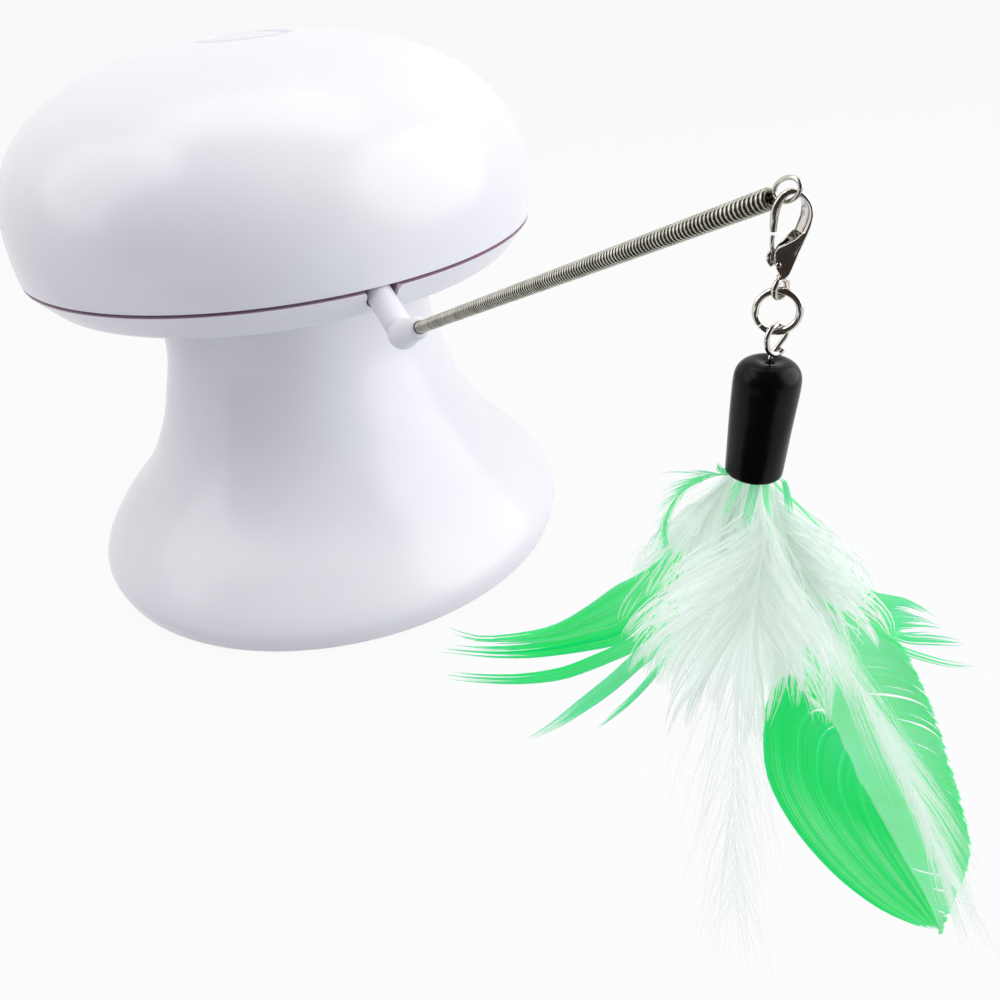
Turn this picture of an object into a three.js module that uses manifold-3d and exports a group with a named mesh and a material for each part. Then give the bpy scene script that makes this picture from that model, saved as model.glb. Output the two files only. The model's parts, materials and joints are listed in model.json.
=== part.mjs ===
// Laser and feather cat toy: a tower base, a head that turns on it, and a feather on a spring arm.
// Millimetres, +Z up. The origin is on the floor, on the axis that the head turns about.
// The arm points along +X, and its feather toy hangs from the far end of the spring.

import * as THREE from 'three';
import { mergeVertices } from 'three/addons/utils/BufferGeometryUtils.js';
import Module from 'manifold-3d';

const wasm = await Module();
wasm.setup();

// Clearances and walls shared by the pieces
const seatGap = 0.2;
const runGap = 0.1;
const gearGap = 0.3;
const cutOverrun = 1;
const coverWall = 2.4;
const weldDistance = 0.0005;

// Tower base
const footRadius = 73.6;
const neckRadius = 39.4;
const baseHeight = 85.2;
const rimHeight = 0.8;
const plateThickness = 3;
const plateFit = 0.5;
const padRadius = 5;
const padThickness = 1.6;
const padEdge = 4;
const footCount = 3;
const bossRadius = 4;
const plateBossHeight = 34;
const bossSeatShare = 0.5;

// Screws
const screwRadius = 1.2;
const screwHeadRadius = 2.5;
const screwHeadHeight = 1.4;
const screwLength = 9;
const screwHoleGap = 0.3;

// Cells and their bay
const cellRadius = 7.25;
const cellLength = 49.2;
const nubRadius = 2.7;
const nubLength = 1.3;
const cellSpacing = 15.1;
const cellCount = 3;
const contactThickness = 0.4;
const contactWidth = 10;
const dimpleHeight = 0.8;
const dimpleRadius = 1.5;
const conePlay = 0.3;
const coneHeight = 4.6;
const coneRadius = 3.2;
const bayWall = 1.6;
const bayPlay = 0.4;
const doorThickness = 1.8;
const doorLedge = 2;
const doorLugWidth = 12;
const doorLugLength = 9;

// Bearing, spindle and gear train
const flangeThickness = 2.2;
const spigotDepth = 2.7;
const spigotWall = 2;
const spindleRadius = 7;
const spindleBore = 3.5;
const washerThickness = 0.8;
const washerRadius = 15;
const hubWall = 2.7;
const hubHeight = 5;
const sunPitchRadius = 16;
const sunTeeth = 32;
const smallTeeth = 12;
const largeTeeth = 26;
const pinionTeeth = 10;
const sunThickness = 4;
const largeThickness = 3.2;
const clipThickness = 1;
const clipRadius = 9;
const clipGrooveDepth = 0.8;
const clipMouthAngle = 1.1;
const axleRadius = 1;
const axleBossRadius = 3;
const axleBossHeight = 3.2;
const compoundAzimuth = 120;
const motorAzimuth = 150;

// Motor and its bracket
const motorRadius = 10;
const motorHeadroom = 2.7;
const motorFaceRadius = 3.6;
const motorFaceHeight = 1.8;
const motorCapRadius = 8.4;
const motorCapHeight = 2;
const shaftRadius = 1;
const shaftReach = 4.5;
const bracketRadius = 14;
const bracketThickness = 2;
const bracketHoleRadius = 8.8;
const bracketLegRadius = 3;
const bracketLegReach = 20.6;
const bracketShift = 9.5;
const bracketLegBeyondMotor = 9.4;

// Slip ring and brushes
const drumRadius = 5.2;
const drumHeight = 9;
const slipRingThickness = 1;
const slipRingHeight = 1.6;
const slipRingSpacing = 3.4;
const brushWidth = 1.6;
const brushThickness = 0.4;
const brushBlockLength = 6;
const brushBlockWidth = 9;
const brushBlockReach = 9.5;

// Head
const headRadius = 72.2;
const domeRise = 51.2;
const domeShoulder = 8.2;
const domePower = 2.4;
const domeRimInset = 0.4;
const domeWall = 2.2;
const partingGap = 0.8;
const panDepth = 8.4;
const panFloor = 2.2;
const panWall = 2.2;
const panEdgeInset = 6.3;
const panEdgeRise = 1.7;
const panCornerLength = 8;
const skirtGap = 0.9;
const skirtWall = 2.2;
const skirtDepth = 3.6;
const headPostRadius = 4.2;
const headPostInset = 20;
const headPostCount = 3;
const headPostStart = 90;
const panBossHeight = 5.6;

// Mode button and its board
const buttonRadius = 12;
const buttonFlange = 1.6;
const buttonFlangeHeight = 1.4;
const buttonCrown = 1.2;
const buttonStemRadius = 2;
const buttonTravel = 0.5;
const wellWall = 2;
const wellDepth = 10.5;
const boardThickness = 1.6;
const switchSize = 6;
const switchHeight = 3.4;
const switchPlungerRadius = 1.7;
const switchPlungerHeight = 1.2;

// Laser
const laserRadius = 3.2;
const laserLength = 15;
const laserLensRadius = 1.6;
const laserDip = 12;
const laserRise = 15.2;
const laserPostLength = 7;
const laserPostWidth = 11;
const laserSetBack = 2.2;
const windowRadius = 5;
const windowFlange = 1.2;
const windowThickness = 1.8;

// Arm root and elbow
const elbowStandOff = 8;
const armDip = 25;
const barrelRadius = 3.25;
const barrelLength = 11.3;
const tenonRadius = 2.4;
const tenonLength = 12;
const notchGap = 0.55;
const ballRadius = 3.7;
const ballGap = 0.25;
const pivotPinRadius = 1.5;
const pivotPinLength = 2.4;
const pivotPinSink = 1.8;
const mouthReach = 10.9;
const mouthRadius = 2.4;
const neckOutRadius = 3.1;
const socketLength = 6;
const socketWidth = 11;
const socketHeight = 13;

// Spring
const springRise = 23.1;
const springStart = 7.6;
const springEnd = 125.4;
const springRadius = 1.38;
const springWire = 0.76;
const springTurns = 64;
const stepsPerTurn = 8;
const wireSides = 5;
const leastSpringGap = 0.4;

// End loop of the spring
const eyeReach = 128.4;
const eyeRadius = 1.5;
const eyeWire = 0.6;
const eyeStemLength = 3.2;

// Clasp, in its own frame: x to the side, z up, from the centre of the spring's end loop
const toyTurn = 44.5;
const toyLean = 2.9;
const capLean = 1.8;
const hookWidth = 0.9;
const hookDepth = 1.2;
const hookTop = 0.28;
const hookLeft = 1.5;
const hookRight = 2.5;
const claspSplit = 4.7;
const claspNeck = 9.7;
const claspDepth = 1.9;
const gateDepth = 0.7;
const gateGap = 0.15;
const gateWidth = 0.75;
const pivotDrop = 8.2;
const pivotSide = 0.5;
const gatePinRadius = 0.26;
const knuckleRadius = 0.75;
const tailDrop = 11.25;
const tailRadius = 1.15;
const tailWire = 0.76;

// Jump ring and the wire eye of the cap
const ringRadius = 2.55;
const ringWire = 0.9;
const ringPlay = 0.2;
const capEyeRadius = 1.2;
const capEyeWire = 0.7;
const capEyeTurn = 55;
const capEyeRest = 0.2;
const shankRadius = 0.5;

// Feather cap
const capTopDrop = 20.2;
const capLength = 15.8;
const capTopRadius = 4.15;
const capMouthRadius = 3.65;
const capWall = 0.6;
const capCorner = 2.2;
const capRoof = 1.3;
const quillRadius = 0.5;
const quillLength = 10.8;
const innerQuillCircle = 0.8;
const outerQuillCircle = 2.2;
const shankSink = 2.6;

// Feathers
const plumeReach = 15;
const plumeDrop = 50;
const plumeWidth = 9;
const plumeThickness = 8;
const trailDrop = 97;
const trailWidth = 9;
const trailThickness = 5;
const vaneReach = 38;
const vaneDrop = 76;
const vaneWidth = 28;
const vaneThickness = 1;
const strandReach = 43;
const strandDrop = 39;
const strandWidth = 7;
const curlReach = 13;
const curlWidth = 3;

// Facets
const shellSides = 28;
const roundSides = 20;
const smallSides = 10;
const tinySides = 8;
const ringSteps = 18;
const loopSides = 6;
const ballSides = 16;

const degree = Math.PI / 180;

// Heights that follow from the sizes above
const plateTop = rimHeight + plateThickness;
const neckTop = rimHeight + baseHeight;
const flangeTop = neckTop + seatGap + flangeThickness;
const panBottom = flangeTop + washerThickness + 2 * seatGap;
const panInside = panBottom + panFloor;
const panRim = panBottom + panDepth;
const domeRim = panRim + partingGap;
const hubTop = panInside + hubHeight;
const sunBottom = hubTop + seatGap;
const clipBottom = sunBottom + sunThickness + seatGap;
const axleSeat = panInside + axleBossHeight;
const largeBottom = clipBottom + clipThickness + seatGap;
const largeTop = largeBottom + largeThickness;
const bracketBottom = largeTop + seatGap;
const bracketTop = bracketBottom + bracketThickness;
const spindleTop = bracketTop - seatGap;
const domeCentre = domeRim + domeShoulder;
const domeTop = domeRim + domeRise;
const panEdgeRadius = headRadius - panEdgeInset;
const headPostCircle = headRadius - headPostInset;
const laserHeight = panInside + laserRise;
const elbowReach = headRadius + elbowStandOff;
const elbowHeight = panBottom;
const boardBottom = domeTop - wellDepth - seatGap - boardThickness;
const motorTop = boardBottom - motorHeadroom;
const gearModule = 2 * sunPitchRadius / sunTeeth;
const doorTop = rimHeight + doorThickness;
const cellHeight = doorTop + 2 * seatGap + cellRadius;
const bayCeiling = cellHeight + cellRadius + bayPlay;
const positivePlay = contactThickness + dimpleHeight + conePlay;
const negativePlay = contactThickness + coneHeight + conePlay;
const bayLength = cellLength + nubLength + positivePlay + negativePlay;
const bayWidth = cellSpacing * (cellCount - 1) + 2 * cellRadius + 2 * bayPlay;
const springMeanRadius = springRadius - springWire / 2;

// Steel, plastics and feathers, as they look
function finish(color, roughness, metalness) {
  return new THREE.MeshStandardMaterial({ color, roughness, metalness });
}
const glossWhite = finish('#f1f0f6', 0.18, 0);
const satinWhite = finish('#f2f1f4', 0.4, 0);
const innerWhite = finish('#dcdcde', 0.6, 0);
const acetal = finish('#e8e4d6', 0.5, 0);
const darkPlastic = finish('#2a2b2e', 0.55, 0);
const rubber = finish('#55565a', 0.9, 0);
const nickel = finish('#b9b6ae', 0.22, 1);
const springSteel = finish('#a9a698', 0.28, 1);
const zincSteel = finish('#b4b7ba', 0.4, 1);
const brass = finish('#c9a24b', 0.35, 1);
const cellWrap = finish('#2f6f8f', 0.35, 0.3);
const boardGreen = finish('#1f5a3a', 0.5, 0);
const redLens = finish('#7a1016', 0.1, 0);
const vinyl = finish('#121316', 0.22, 0);
const whiteFeather = finish('#eef3ef', 0.9, 0);
const greenFeather = finish('#25d36b', 0.7, 0);

// Turns a geometry into one welded, closed mesh that faces outwards
function closed(geometry) {
  geometry.deleteAttribute('normal');
  geometry.deleteAttribute('uv');
  const merged = mergeVertices(geometry, weldDistance);
  const corners = merged.index.array;
  const kept = [];
  for (let i = 0; i < corners.length; i += 3) {
    const [a, b, c] = [corners[i], corners[i + 1], corners[i + 2]];
    if (a !== b && b !== c && c !== a) {
      kept.push(a, b, c);
    }
  }
  if (signedVolume(merged.attributes.position, kept) < 0) {
    kept.reverse();
  }
  merged.setIndex(kept);
  return merged;
}

function signedVolume(position, corners) {
  const [a, b, c] = [new THREE.Vector3(), new THREE.Vector3(), new THREE.Vector3()];
  let sum = 0;
  for (let i = 0; i < corners.length; i += 3) {
    a.fromBufferAttribute(position, corners[i]);
    b.fromBufferAttribute(position, corners[i + 1]);
    c.fromBufferAttribute(position, corners[i + 2]);
    sum += a.dot(b.cross(c));
  }
  return sum;
}

// Booleans on welded geometries
function toSolid(geometry) {
  return new wasm.Manifold(new wasm.Mesh({
    numProp: 3,
    vertProperties: new Float32Array(geometry.attributes.position.array),
    triVerts: new Uint32Array(geometry.index.array),
  }));
}

function fromSolid(solid) {
  const mesh = solid.getMesh();
  const geometry = new THREE.BufferGeometry();
  geometry.setAttribute('position', new THREE.BufferAttribute(new Float32Array(mesh.vertProperties), 3));
  geometry.setIndex(new THREE.BufferAttribute(new Uint32Array(mesh.triVerts), 1));
  return geometry;
}

function join(first, ...others) {
  return fromSolid(others.reduce((solid, other) => solid.add(toSolid(other)), toSolid(first)));
}

function cut(first, ...tools) {
  return fromSolid(tools.reduce((solid, tool) => solid.subtract(toSolid(tool)), toSolid(first)));
}

// Turned, extruded and boxed blanks
function turned(outline, sides = roundSides) {
  const points = outline.map(([radius, height]) => new THREE.Vector2(radius, height));
  return closed(new THREE.LatheGeometry(points, sides).rotateX(Math.PI / 2));
}

function rod(radius, bottom, top, x = 0, y = 0, sides = roundSides) {
  const blank = new THREE.CylinderGeometry(radius, radius, top - bottom, sides);
  return closed(blank.rotateX(Math.PI / 2).translate(x, y, (bottom + top) / 2));
}

function block(west, east, south, north, bottom, top) {
  const blank = new THREE.BoxGeometry(east - west, north - south, top - bottom);
  return closed(blank.translate((west + east) / 2, (south + north) / 2, (bottom + top) / 2));
}

function extruded(shape, bottom, top) {
  const blank = new THREE.ExtrudeGeometry(shape, { depth: top - bottom, bevelEnabled: false, curveSegments: tinySides });
  return closed(blank.translate(0, 0, bottom));
}

function around(circle, azimuth) {
  return [circle * Math.cos(azimuth * degree), circle * Math.sin(azimuth * degree)];
}

// A wire along points, with the side of each section that faces its outward direction given
function wire(points, outwards, radius, sides) {
  const vertices = [];
  const faces = [];
  const last = points.length - 1;
  points.forEach((point, i) => {
    const before = points[Math.max(i - 1, 0)];
    const after = points[Math.min(i + 1, last)];
    const along = after.clone().sub(before).normalize();
    const out = outwards[i].clone().addScaledVector(along, -along.dot(outwards[i])).normalize();
    const side = along.clone().cross(out);
    for (let k = 0; k < sides; k++) {
      const angle = 2 * Math.PI * k / sides;
      const spot = point.clone();
      spot.addScaledVector(out, radius * Math.cos(angle));
      spot.addScaledVector(side, radius * Math.sin(angle));
      vertices.push(spot.x, spot.y, spot.z);
    }
  });
  for (let i = 0; i < last; i++) {
    for (let k = 0; k < sides; k++) {
      const next = (k + 1) % sides;
      const [a, b, c, d] = [i * sides + k, i * sides + next, (i + 1) * sides + next, (i + 1) * sides + k];
      faces.push(a, b, c, a, c, d);
    }
  }
  for (let k = 1; k < sides - 1; k++) {
    faces.push(0, k + 1, k);
    faces.push(last * sides, last * sides + k, last * sides + k + 1);
  }
  const geometry = new THREE.BufferGeometry();
  geometry.setAttribute('position', new THREE.Float32BufferAttribute(vertices, 3));
  geometry.setIndex(faces);
  return closed(geometry);
}

// The tower's outline: how far it flares from the neck to the foot, by height
const flareShares = [
  [0, 0.953], [0.095, 1], [0.222, 0.798], [0.369, 0.462],
  [0.515, 0.246], [0.662, 0.114], [0.809, 0.02], [1, 0],
];

function towerOutline(inset, steps) {
  const flare = footRadius - neckRadius;
  const knots = flareShares.map(([heightShare, flareShare]) => new THREE.Vector2(
    neckRadius + flare * flareShare - inset,
    rimHeight + baseHeight * heightShare,
  ));
  return new THREE.SplineCurve(knots).getPoints(steps).map((point) => [point.x, point.y]);
}

function baseShell() {
  const outline = towerOutline(0, 10);
  const outer = turned([[0, rimHeight], ...outline, [0, neckTop]], shellSides);
  const hollow = towerOutline(coverWall, 5);
  const cavityOutline = [
    [0, rimHeight - cutOverrun],
    [hollow[0][0], rimHeight - cutOverrun],
    ...hollow,
    [hollow.at(-1)[0], neckTop + cutOverrun],
    [0, neckTop + cutOverrun],
  ];
  const bosses = plateScrewPlaces().map(([x, y]) => {
    const boss = rod(bossRadius, plateTop + seatGap, plateBossHeight, x, y, smallSides);
    const holeTop = plateTop + screwLength + screwHoleGap;
    return cut(boss, rod(screwRadius + screwHoleGap, plateTop - cutOverrun, holeTop, x, y, smallSides));
  });
  const cavity = cut(turned(cavityOutline, shellSides), ...bosses);
  return cut(outer, cavity);
}

// The radius of the tower's outside at a height
function towerRadiusAt(height) {
  const outline = towerOutline(0, 10);
  const above = outline.findIndex(([, z]) => z >= height);
  const [lowRadius, low] = outline[above - 1];
  const [highRadius, high] = outline[above];
  return lowRadius + (highRadius - lowRadius) * (height - low) / (high - low);
}

function plateRadius() {
  return towerOutline(coverWall, 5)[0][0] - plateFit;
}

// The bosses grow out of the shell's wall at their upper end
function plateScrewPlaces() {
  const circle = towerRadiusAt(plateBossHeight) - coverWall + bossRadius * bossSeatShare;
  return Array.from({ length: footCount }, (_, i) => around(circle, 90 + 360 * i / footCount));
}

function padPlaces() {
  const circle = plateRadius() - padEdge - padRadius;
  return Array.from({ length: footCount }, (_, i) => around(circle, 30 + 360 * i / footCount));
}

function doorLugEnd() {
  return bayLength / 2 + doorLedge + doorLugLength;
}

function doorScrewPlace() {
  return [doorLugEnd() - doorLugWidth / 2, 0];
}

// A cover blank with its screw lug, grown by a margin to make the recess that it sits in
function doorBlank(margin, bottom, top) {
  const halfLength = bayLength / 2 + doorLedge + margin;
  const halfWidth = bayWidth / 2 + doorLedge + margin;
  const halfLug = doorLugWidth / 2 + margin;
  const cover = block(-halfLength, halfLength, -halfWidth, halfWidth, bottom, top);
  const lug = block(0, doorLugEnd() + margin, -halfLug, halfLug, bottom, top);
  return join(cover, lug);
}

function screwWell(x, y, bottom, top) {
  const headTop = bottom + screwHeadHeight + seatGap;
  const head = rod(screwHeadRadius + screwHoleGap, bottom - cutOverrun, headTop, x, y, smallSides);
  return join(head, rod(screwRadius + screwHoleGap, bottom - cutOverrun, top, x, y, smallSides));
}

function basePlate() {
  const edge = plateRadius();
  const disc = turned([[0, rimHeight], [edge, rimHeight], [edge, plateTop], [0, plateTop]], shellSides);
  const outerLength = bayLength / 2 + bayWall;
  const outerWidth = bayWidth / 2 + bayWall;
  const bay = block(-outerLength, outerLength, -outerWidth, outerWidth, rimHeight, bayCeiling + bayWall);
  const inside = block(
    -bayLength / 2, bayLength / 2, -bayWidth / 2, bayWidth / 2, rimHeight - cutOverrun, bayCeiling,
  );
  const [doorX, doorY] = doorScrewPlace();
  const bossTop = doorTop + screwLength + coverWall;
  const boss = rod(bossRadius, rimHeight, bossTop, doorX, doorY, smallSides);
  const bossHole = rod(screwRadius + screwHoleGap, rimHeight, doorTop + screwLength, doorX, doorY, smallSides);
  const screws = plateScrewPlaces().map(([x, y]) => screwWell(x, y, rimHeight, plateTop + cutOverrun));
  const recessTop = padThickness + seatGap;
  const pads = padPlaces().map(([x, y]) => rod(
    padRadius + seatGap, rimHeight - cutOverrun, recessTop, x, y, roundSides,
  ));
  const recess = doorBlank(seatGap, rimHeight - cutOverrun, doorTop + seatGap);
  return cut(join(disc, bay, boss), inside, recess, bossHole, ...screws, ...pads);
}

function batteryDoor() {
  const [x, y] = doorScrewPlace();
  return cut(doorBlank(0, rimHeight, doorTop), screwWell(x, y, rimHeight, doorTop + cutOverrun));
}

// A pan-head screw that points up from its head
function screw(x, y, bottom) {
  const headTop = bottom + screwHeadHeight;
  const tip = bottom + screwLength;
  const outline = [
    [0, bottom],
    [screwHeadRadius, bottom],
    [screwHeadRadius, headTop],
    [screwRadius, headTop],
    [screwRadius, tip - screwRadius],
    [0, tip],
  ];
  return turned(outline, smallSides).translate(x, y, 0);
}

function footPad(x, y) {
  return rod(padRadius, 0, padThickness, x, y, roundSides);
}

// A cell along x with its nub at the end that its direction gives
function cell(y, direction) {
  const total = cellLength + nubLength;
  const outline = [[0, 0], [cellRadius, 0], [cellRadius, cellLength], [nubRadius, cellLength], [nubRadius, total], [0, total]];
  const blank = turned(outline, roundSides);
  const start = bayLength / 2 - negativePlay;
  blank.rotateY(direction * Math.PI / 2);
  return blank.translate(-direction * start, y, cellHeight);
}

// A contact strip on the bay's end wall, with a cone for a cell's flat end and a dimple for its nub
function contact(wall, cellRows) {
  const face = wall * bayLength / 2;
  const inner = face - wall * contactThickness;
  const [west, east] = [Math.min(face, inner), Math.max(face, inner)];
  const rows = cellRows.map((row) => row.y);
  const half = contactWidth / 2;
  let strip = block(
    west, east, Math.min(...rows) - half, Math.max(...rows) + half, cellHeight - half, cellHeight + half,
  );
  cellRows.forEach((row) => {
    const [radius, height] = row.nub ? [dimpleRadius, dimpleHeight] : [coneRadius, coneHeight];
    const bump = turned([[0, 0], [radius, 0], [nubRadius / 2, height], [0, height]], smallSides);
    bump.translate(0, 0, -contactThickness / 2).rotateY(-wall * Math.PI / 2);
    strip = join(strip, closed(bump.translate(inner, row.y, cellHeight)));
  });
  const shift = -wall * seatGap / 2;
  return strip.translate(shift, 0, 0);
}

// The cover of the neck, with the hollow spindle that the head turns on
function neckCap() {
  const flangeBottom = neckTop + seatGap;
  const spigotOuter = neckRadius - coverWall - 2 * seatGap;
  const grooveBottom = clipBottom - seatGap / 2;
  const grooveTop = clipBottom + clipThickness + seatGap / 2;
  const grooveRadius = spindleRadius - clipGrooveDepth;
  const outline = [
    [spindleBore, flangeBottom],
    [spigotOuter - spigotWall, flangeBottom],
    [spigotOuter - spigotWall, flangeBottom - spigotDepth],
    [spigotOuter, flangeBottom - spigotDepth],
    [spigotOuter, flangeBottom],
    [neckRadius, flangeBottom],
    [neckRadius, flangeTop],
    [spindleRadius, flangeTop],
    [spindleRadius, grooveBottom],
    [grooveRadius, grooveBottom],
    [grooveRadius, grooveTop],
    [spindleRadius, grooveTop],
    [spindleRadius, spindleTop],
    [spindleBore, spindleTop],
    [spindleBore, flangeBottom],
  ];
  return turned(outline, roundSides);
}

function ringBlank(inner, outer, bottom, top, sides = roundSides) {
  return turned([[inner, bottom], [outer, bottom], [outer, top], [inner, top], [inner, bottom]], sides);
}

function thrustWasher() {
  const bottom = flangeTop + seatGap;
  return ringBlank(spindleRadius + runGap, washerRadius, bottom, bottom + washerThickness);
}

// Straight-flanked teeth, thinned for backlash
const toothRootShare = 1.15;
const toothTipShare = 0.85;
const toothHalfRootShare = 1.02;
const toothHalfTipShare = 0.34;

function gear(teeth, boreRadius, bottom, top) {
  const pitchRadius = gearModule * teeth / 2;
  const root = pitchRadius - gearModule * toothRootShare;
  const tip = pitchRadius + gearModule * toothTipShare;
  const rootAngle = gearModule * toothHalfRootShare / root;
  const tipAngle = gearModule * toothHalfTipShare / tip;
  const shape = new THREE.Shape();
  for (let tooth = 0; tooth < teeth; tooth++) {
    const middle = 2 * Math.PI * tooth / teeth;
    const corners = [[root, -rootAngle], [tip, -tipAngle], [tip, tipAngle], [root, rootAngle]];
    corners.forEach(([radius, angle], i) => {
      const x = radius * Math.cos(middle + angle);
      const y = radius * Math.sin(middle + angle);
      if (tooth === 0 && i === 0) {
        shape.moveTo(x, y);
      } else {
        shape.lineTo(x, y);
      }
    });
  }
  shape.closePath();
  const hole = new THREE.Path();
  hole.absarc(0, 0, boreRadius, 0, 2 * Math.PI, true);
  shape.holes.push(hole);
  return extruded(shape, bottom, top);
}

function meshDistance(firstTeeth, secondTeeth) {
  return gearModule * (firstTeeth + secondTeeth) / 2 + gearGap / 2;
}

function compoundPlace() {
  return around(meshDistance(sunTeeth, smallTeeth), compoundAzimuth);
}

function motorPlace() {
  const [x, y] = compoundPlace();
  const [dx, dy] = around(meshDistance(largeTeeth, pinionTeeth), motorAzimuth);
  return [x + dx, y + dy];
}

// Turns a gear so that one of its gaps faces a tooth of the gear it meets
function meshTurn(teeth, partnerTeeth, azimuth, partnerTurn) {
  const partnerPhase = (azimuth * degree - partnerTurn) * partnerTeeth / (2 * Math.PI);
  const toothOffset = partnerPhase - Math.round(partnerPhase);
  const gapAngle = Math.PI / teeth;
  return (azimuth + 180) * degree + gapAngle + toothOffset * 2 * Math.PI / teeth;
}

function sunGear() {
  return gear(sunTeeth, spindleRadius + seatGap, sunBottom, sunBottom + sunThickness);
}

function compoundGear() {
  const [x, y] = compoundPlace();
  const bore = axleRadius + runGap;
  const smallTurn = meshTurn(smallTeeth, sunTeeth, compoundAzimuth, 0);
  const small = gear(smallTeeth, bore, axleSeat + seatGap, largeBottom + seatGap);
  const large = gear(largeTeeth, bore, largeBottom, largeTop);
  return join(small.rotateZ(smallTurn), large.rotateZ(smallTurn)).translate(x, y, 0);
}

// The pinion with the motor shaft that it is pressed on
function motorPinion() {
  const [x, y] = motorPlace();
  const largeTurn = meshTurn(smallTeeth, sunTeeth, compoundAzimuth, 0);
  const turn = meshTurn(pinionTeeth, largeTeeth, motorAzimuth, largeTurn);
  const wheel = gear(pinionTeeth, shaftRadius / 2, largeBottom, largeTop).rotateZ(turn);
  const shaft = rod(shaftRadius, largeBottom, bracketTop + shaftReach, 0, 0, smallSides);
  return join(wheel, shaft).translate(x, y, 0);
}

function gearAxle() {
  const [x, y] = compoundPlace();
  return rod(axleRadius, panInside + seatGap, bracketTop, x, y, smallSides);
}

// A flat retaining ring with a mouth, in the spindle's groove
function spindleClip() {
  const inner = spindleRadius - clipGrooveDepth + runGap;
  const shape = new THREE.Shape();
  const halfMouth = clipMouthAngle / 2;
  shape.absarc(0, 0, clipRadius, halfMouth, 2 * Math.PI - halfMouth, false);
  shape.absarc(0, 0, inner, 2 * Math.PI - halfMouth, halfMouth, true);
  return closed(new THREE.ExtrudeGeometry(shape, {
    depth: clipThickness, bevelEnabled: false, curveSegments: tinySides,
  }).translate(0, 0, clipBottom));
}

function slipRingDrum() {
  return ringBlank(spindleBore / 2, drumRadius, drumBottom(), drumBottom() + drumHeight, smallSides);
}

function drumBottom() {
  return spindleTop + seatGap;
}

function slipRingBottom(i) {
  return drumBottom() + slipRingHeight + slipRingSpacing * i;
}

function slipRing(i) {
  const inner = drumRadius + runGap;
  return ringBlank(inner, inner + slipRingThickness, slipRingBottom(i), slipRingBottom(i) + slipRingHeight, smallSides);
}

// The brush holder stands on the bracket, and its two blades reach in to the rings
function brushBlock() {
  const bottom = bracketTop + seatGap;
  const half = brushBlockWidth / 2;
  const outerFace = brushBlockReach + brushBlockLength;
  const angle = (motorSide() + 180) * degree;
  let holder = block(brushBlockReach, outerFace, -half, half, bottom, slipRingBottom(2));
  for (let i = 0; i < 2; i++) {
    const middle = slipRingBottom(i) + slipRingHeight / 2;
    const inner = drumRadius + runGap + slipRingThickness + seatGap;
    const halfBrush = brushWidth / 2;
    const blade = block(
      inner, brushBlockReach + cutOverrun, -halfBrush, halfBrush,
      middle - brushThickness / 2, middle + brushThickness / 2,
    );
    holder = join(holder, blade);
  }
  return holder.rotateZ(angle);
}

function motorSide() {
  const [x, y] = motorPlace();
  return Math.atan2(y, x) / degree;
}

// The bracket bridges the gears: a plate on two legs, under the motor and above the large gear
function bracketLegPlaces() {
  const [x, y] = motorPlace();
  const far = Math.hypot(x, y) + bracketLegBeyondMotor;
  return [around(far, motorSide()), around(bracketLegReach, motorSide() + 180)];
}

function motorBracket() {
  const reach = Math.hypot(...motorPlace());
  const shape = new THREE.Shape();
  shape.absarc(reach, 0, bracketRadius, -Math.PI / 2, Math.PI / 2, false);
  shape.absarc(-bracketShift, 0, bracketRadius, Math.PI / 2, 3 * Math.PI / 2, false);
  shape.closePath();
  const plate = extruded(shape, bracketBottom, bracketTop).rotateZ(motorSide() * degree);
  const legs = bracketLegPlaces().map(([x, y]) => rod(
    bracketLegRadius, panInside + seatGap, bracketBottom + seatGap, x, y, smallSides,
  ));
  const low = bracketBottom - cutOverrun;
  const high = bracketTop + cutOverrun;
  const holes = [
    rod(bracketHoleRadius, low, high),
    rod(motorFaceRadius + seatGap, low, high, ...motorPlace()),
    rod(axleRadius + runGap, low, high, ...compoundPlace(), smallSides),
  ];
  return cut(join(plate, ...legs), ...holes);
}

// A round can with its nose through the bracket and a blind bore for the shaft
function gearMotor() {
  const canBottom = bracketTop + seatGap;
  const canTop = motorTop - motorCapHeight;
  const boreRadius = shaftRadius + runGap;
  const boreTop = bracketTop + shaftReach + seatGap;
  const noseBottom = canBottom - motorFaceHeight;
  const outline = [
    [boreRadius, noseBottom],
    [motorFaceRadius, noseBottom],
    [motorFaceRadius, canBottom],
    [motorRadius, canBottom],
    [motorRadius, canTop],
    [motorCapRadius, canTop],
    [motorCapRadius, motorTop],
    [0, motorTop],
    [0, boreTop],
    [boreRadius, boreTop],
    [boreRadius, noseBottom],
  ];
  return turned(outline, roundSides).translate(...motorPlace(), 0);
}

// Head: the dome's side is upright at its rim and rounds over to the top
function domeRadiusAt(height, inset) {
  const rise = Math.max(height - domeCentre, 0) / (domeTop - inset - domeCentre);
  const share = (1 - rise ** domePower) ** (1 / domePower);
  return (headRadius - inset) * share;
}

function domeOutline(inset, steps) {
  const points = [[headRadius - domeRimInset - inset, domeRim], [headRadius - inset, domeCentre]];
  for (let i = 1; i < steps; i++) {
    const slope = Math.PI / 2 * i / steps;
    const height = domeCentre + (domeTop - inset - domeCentre) * Math.sin(slope) ** (2 / domePower);
    points.push([domeRadiusAt(height, inset), height]);
  }
  points.push([0, domeTop - inset]);
  return points;
}

function headPostPlaces() {
  return Array.from({ length: headPostCount }, (_, i) => around(
    headPostCircle, headPostStart + 360 * i / headPostCount,
  ));
}

function buttonTop() {
  return domeTop - buttonFlangeHeight / 2;
}

function wellBottom() {
  return domeTop - wellDepth;
}

function flangeRadius() {
  return buttonRadius + buttonFlange;
}

function buttonFlangeTop() {
  return domeTop - domeWall - seatGap;
}

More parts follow.
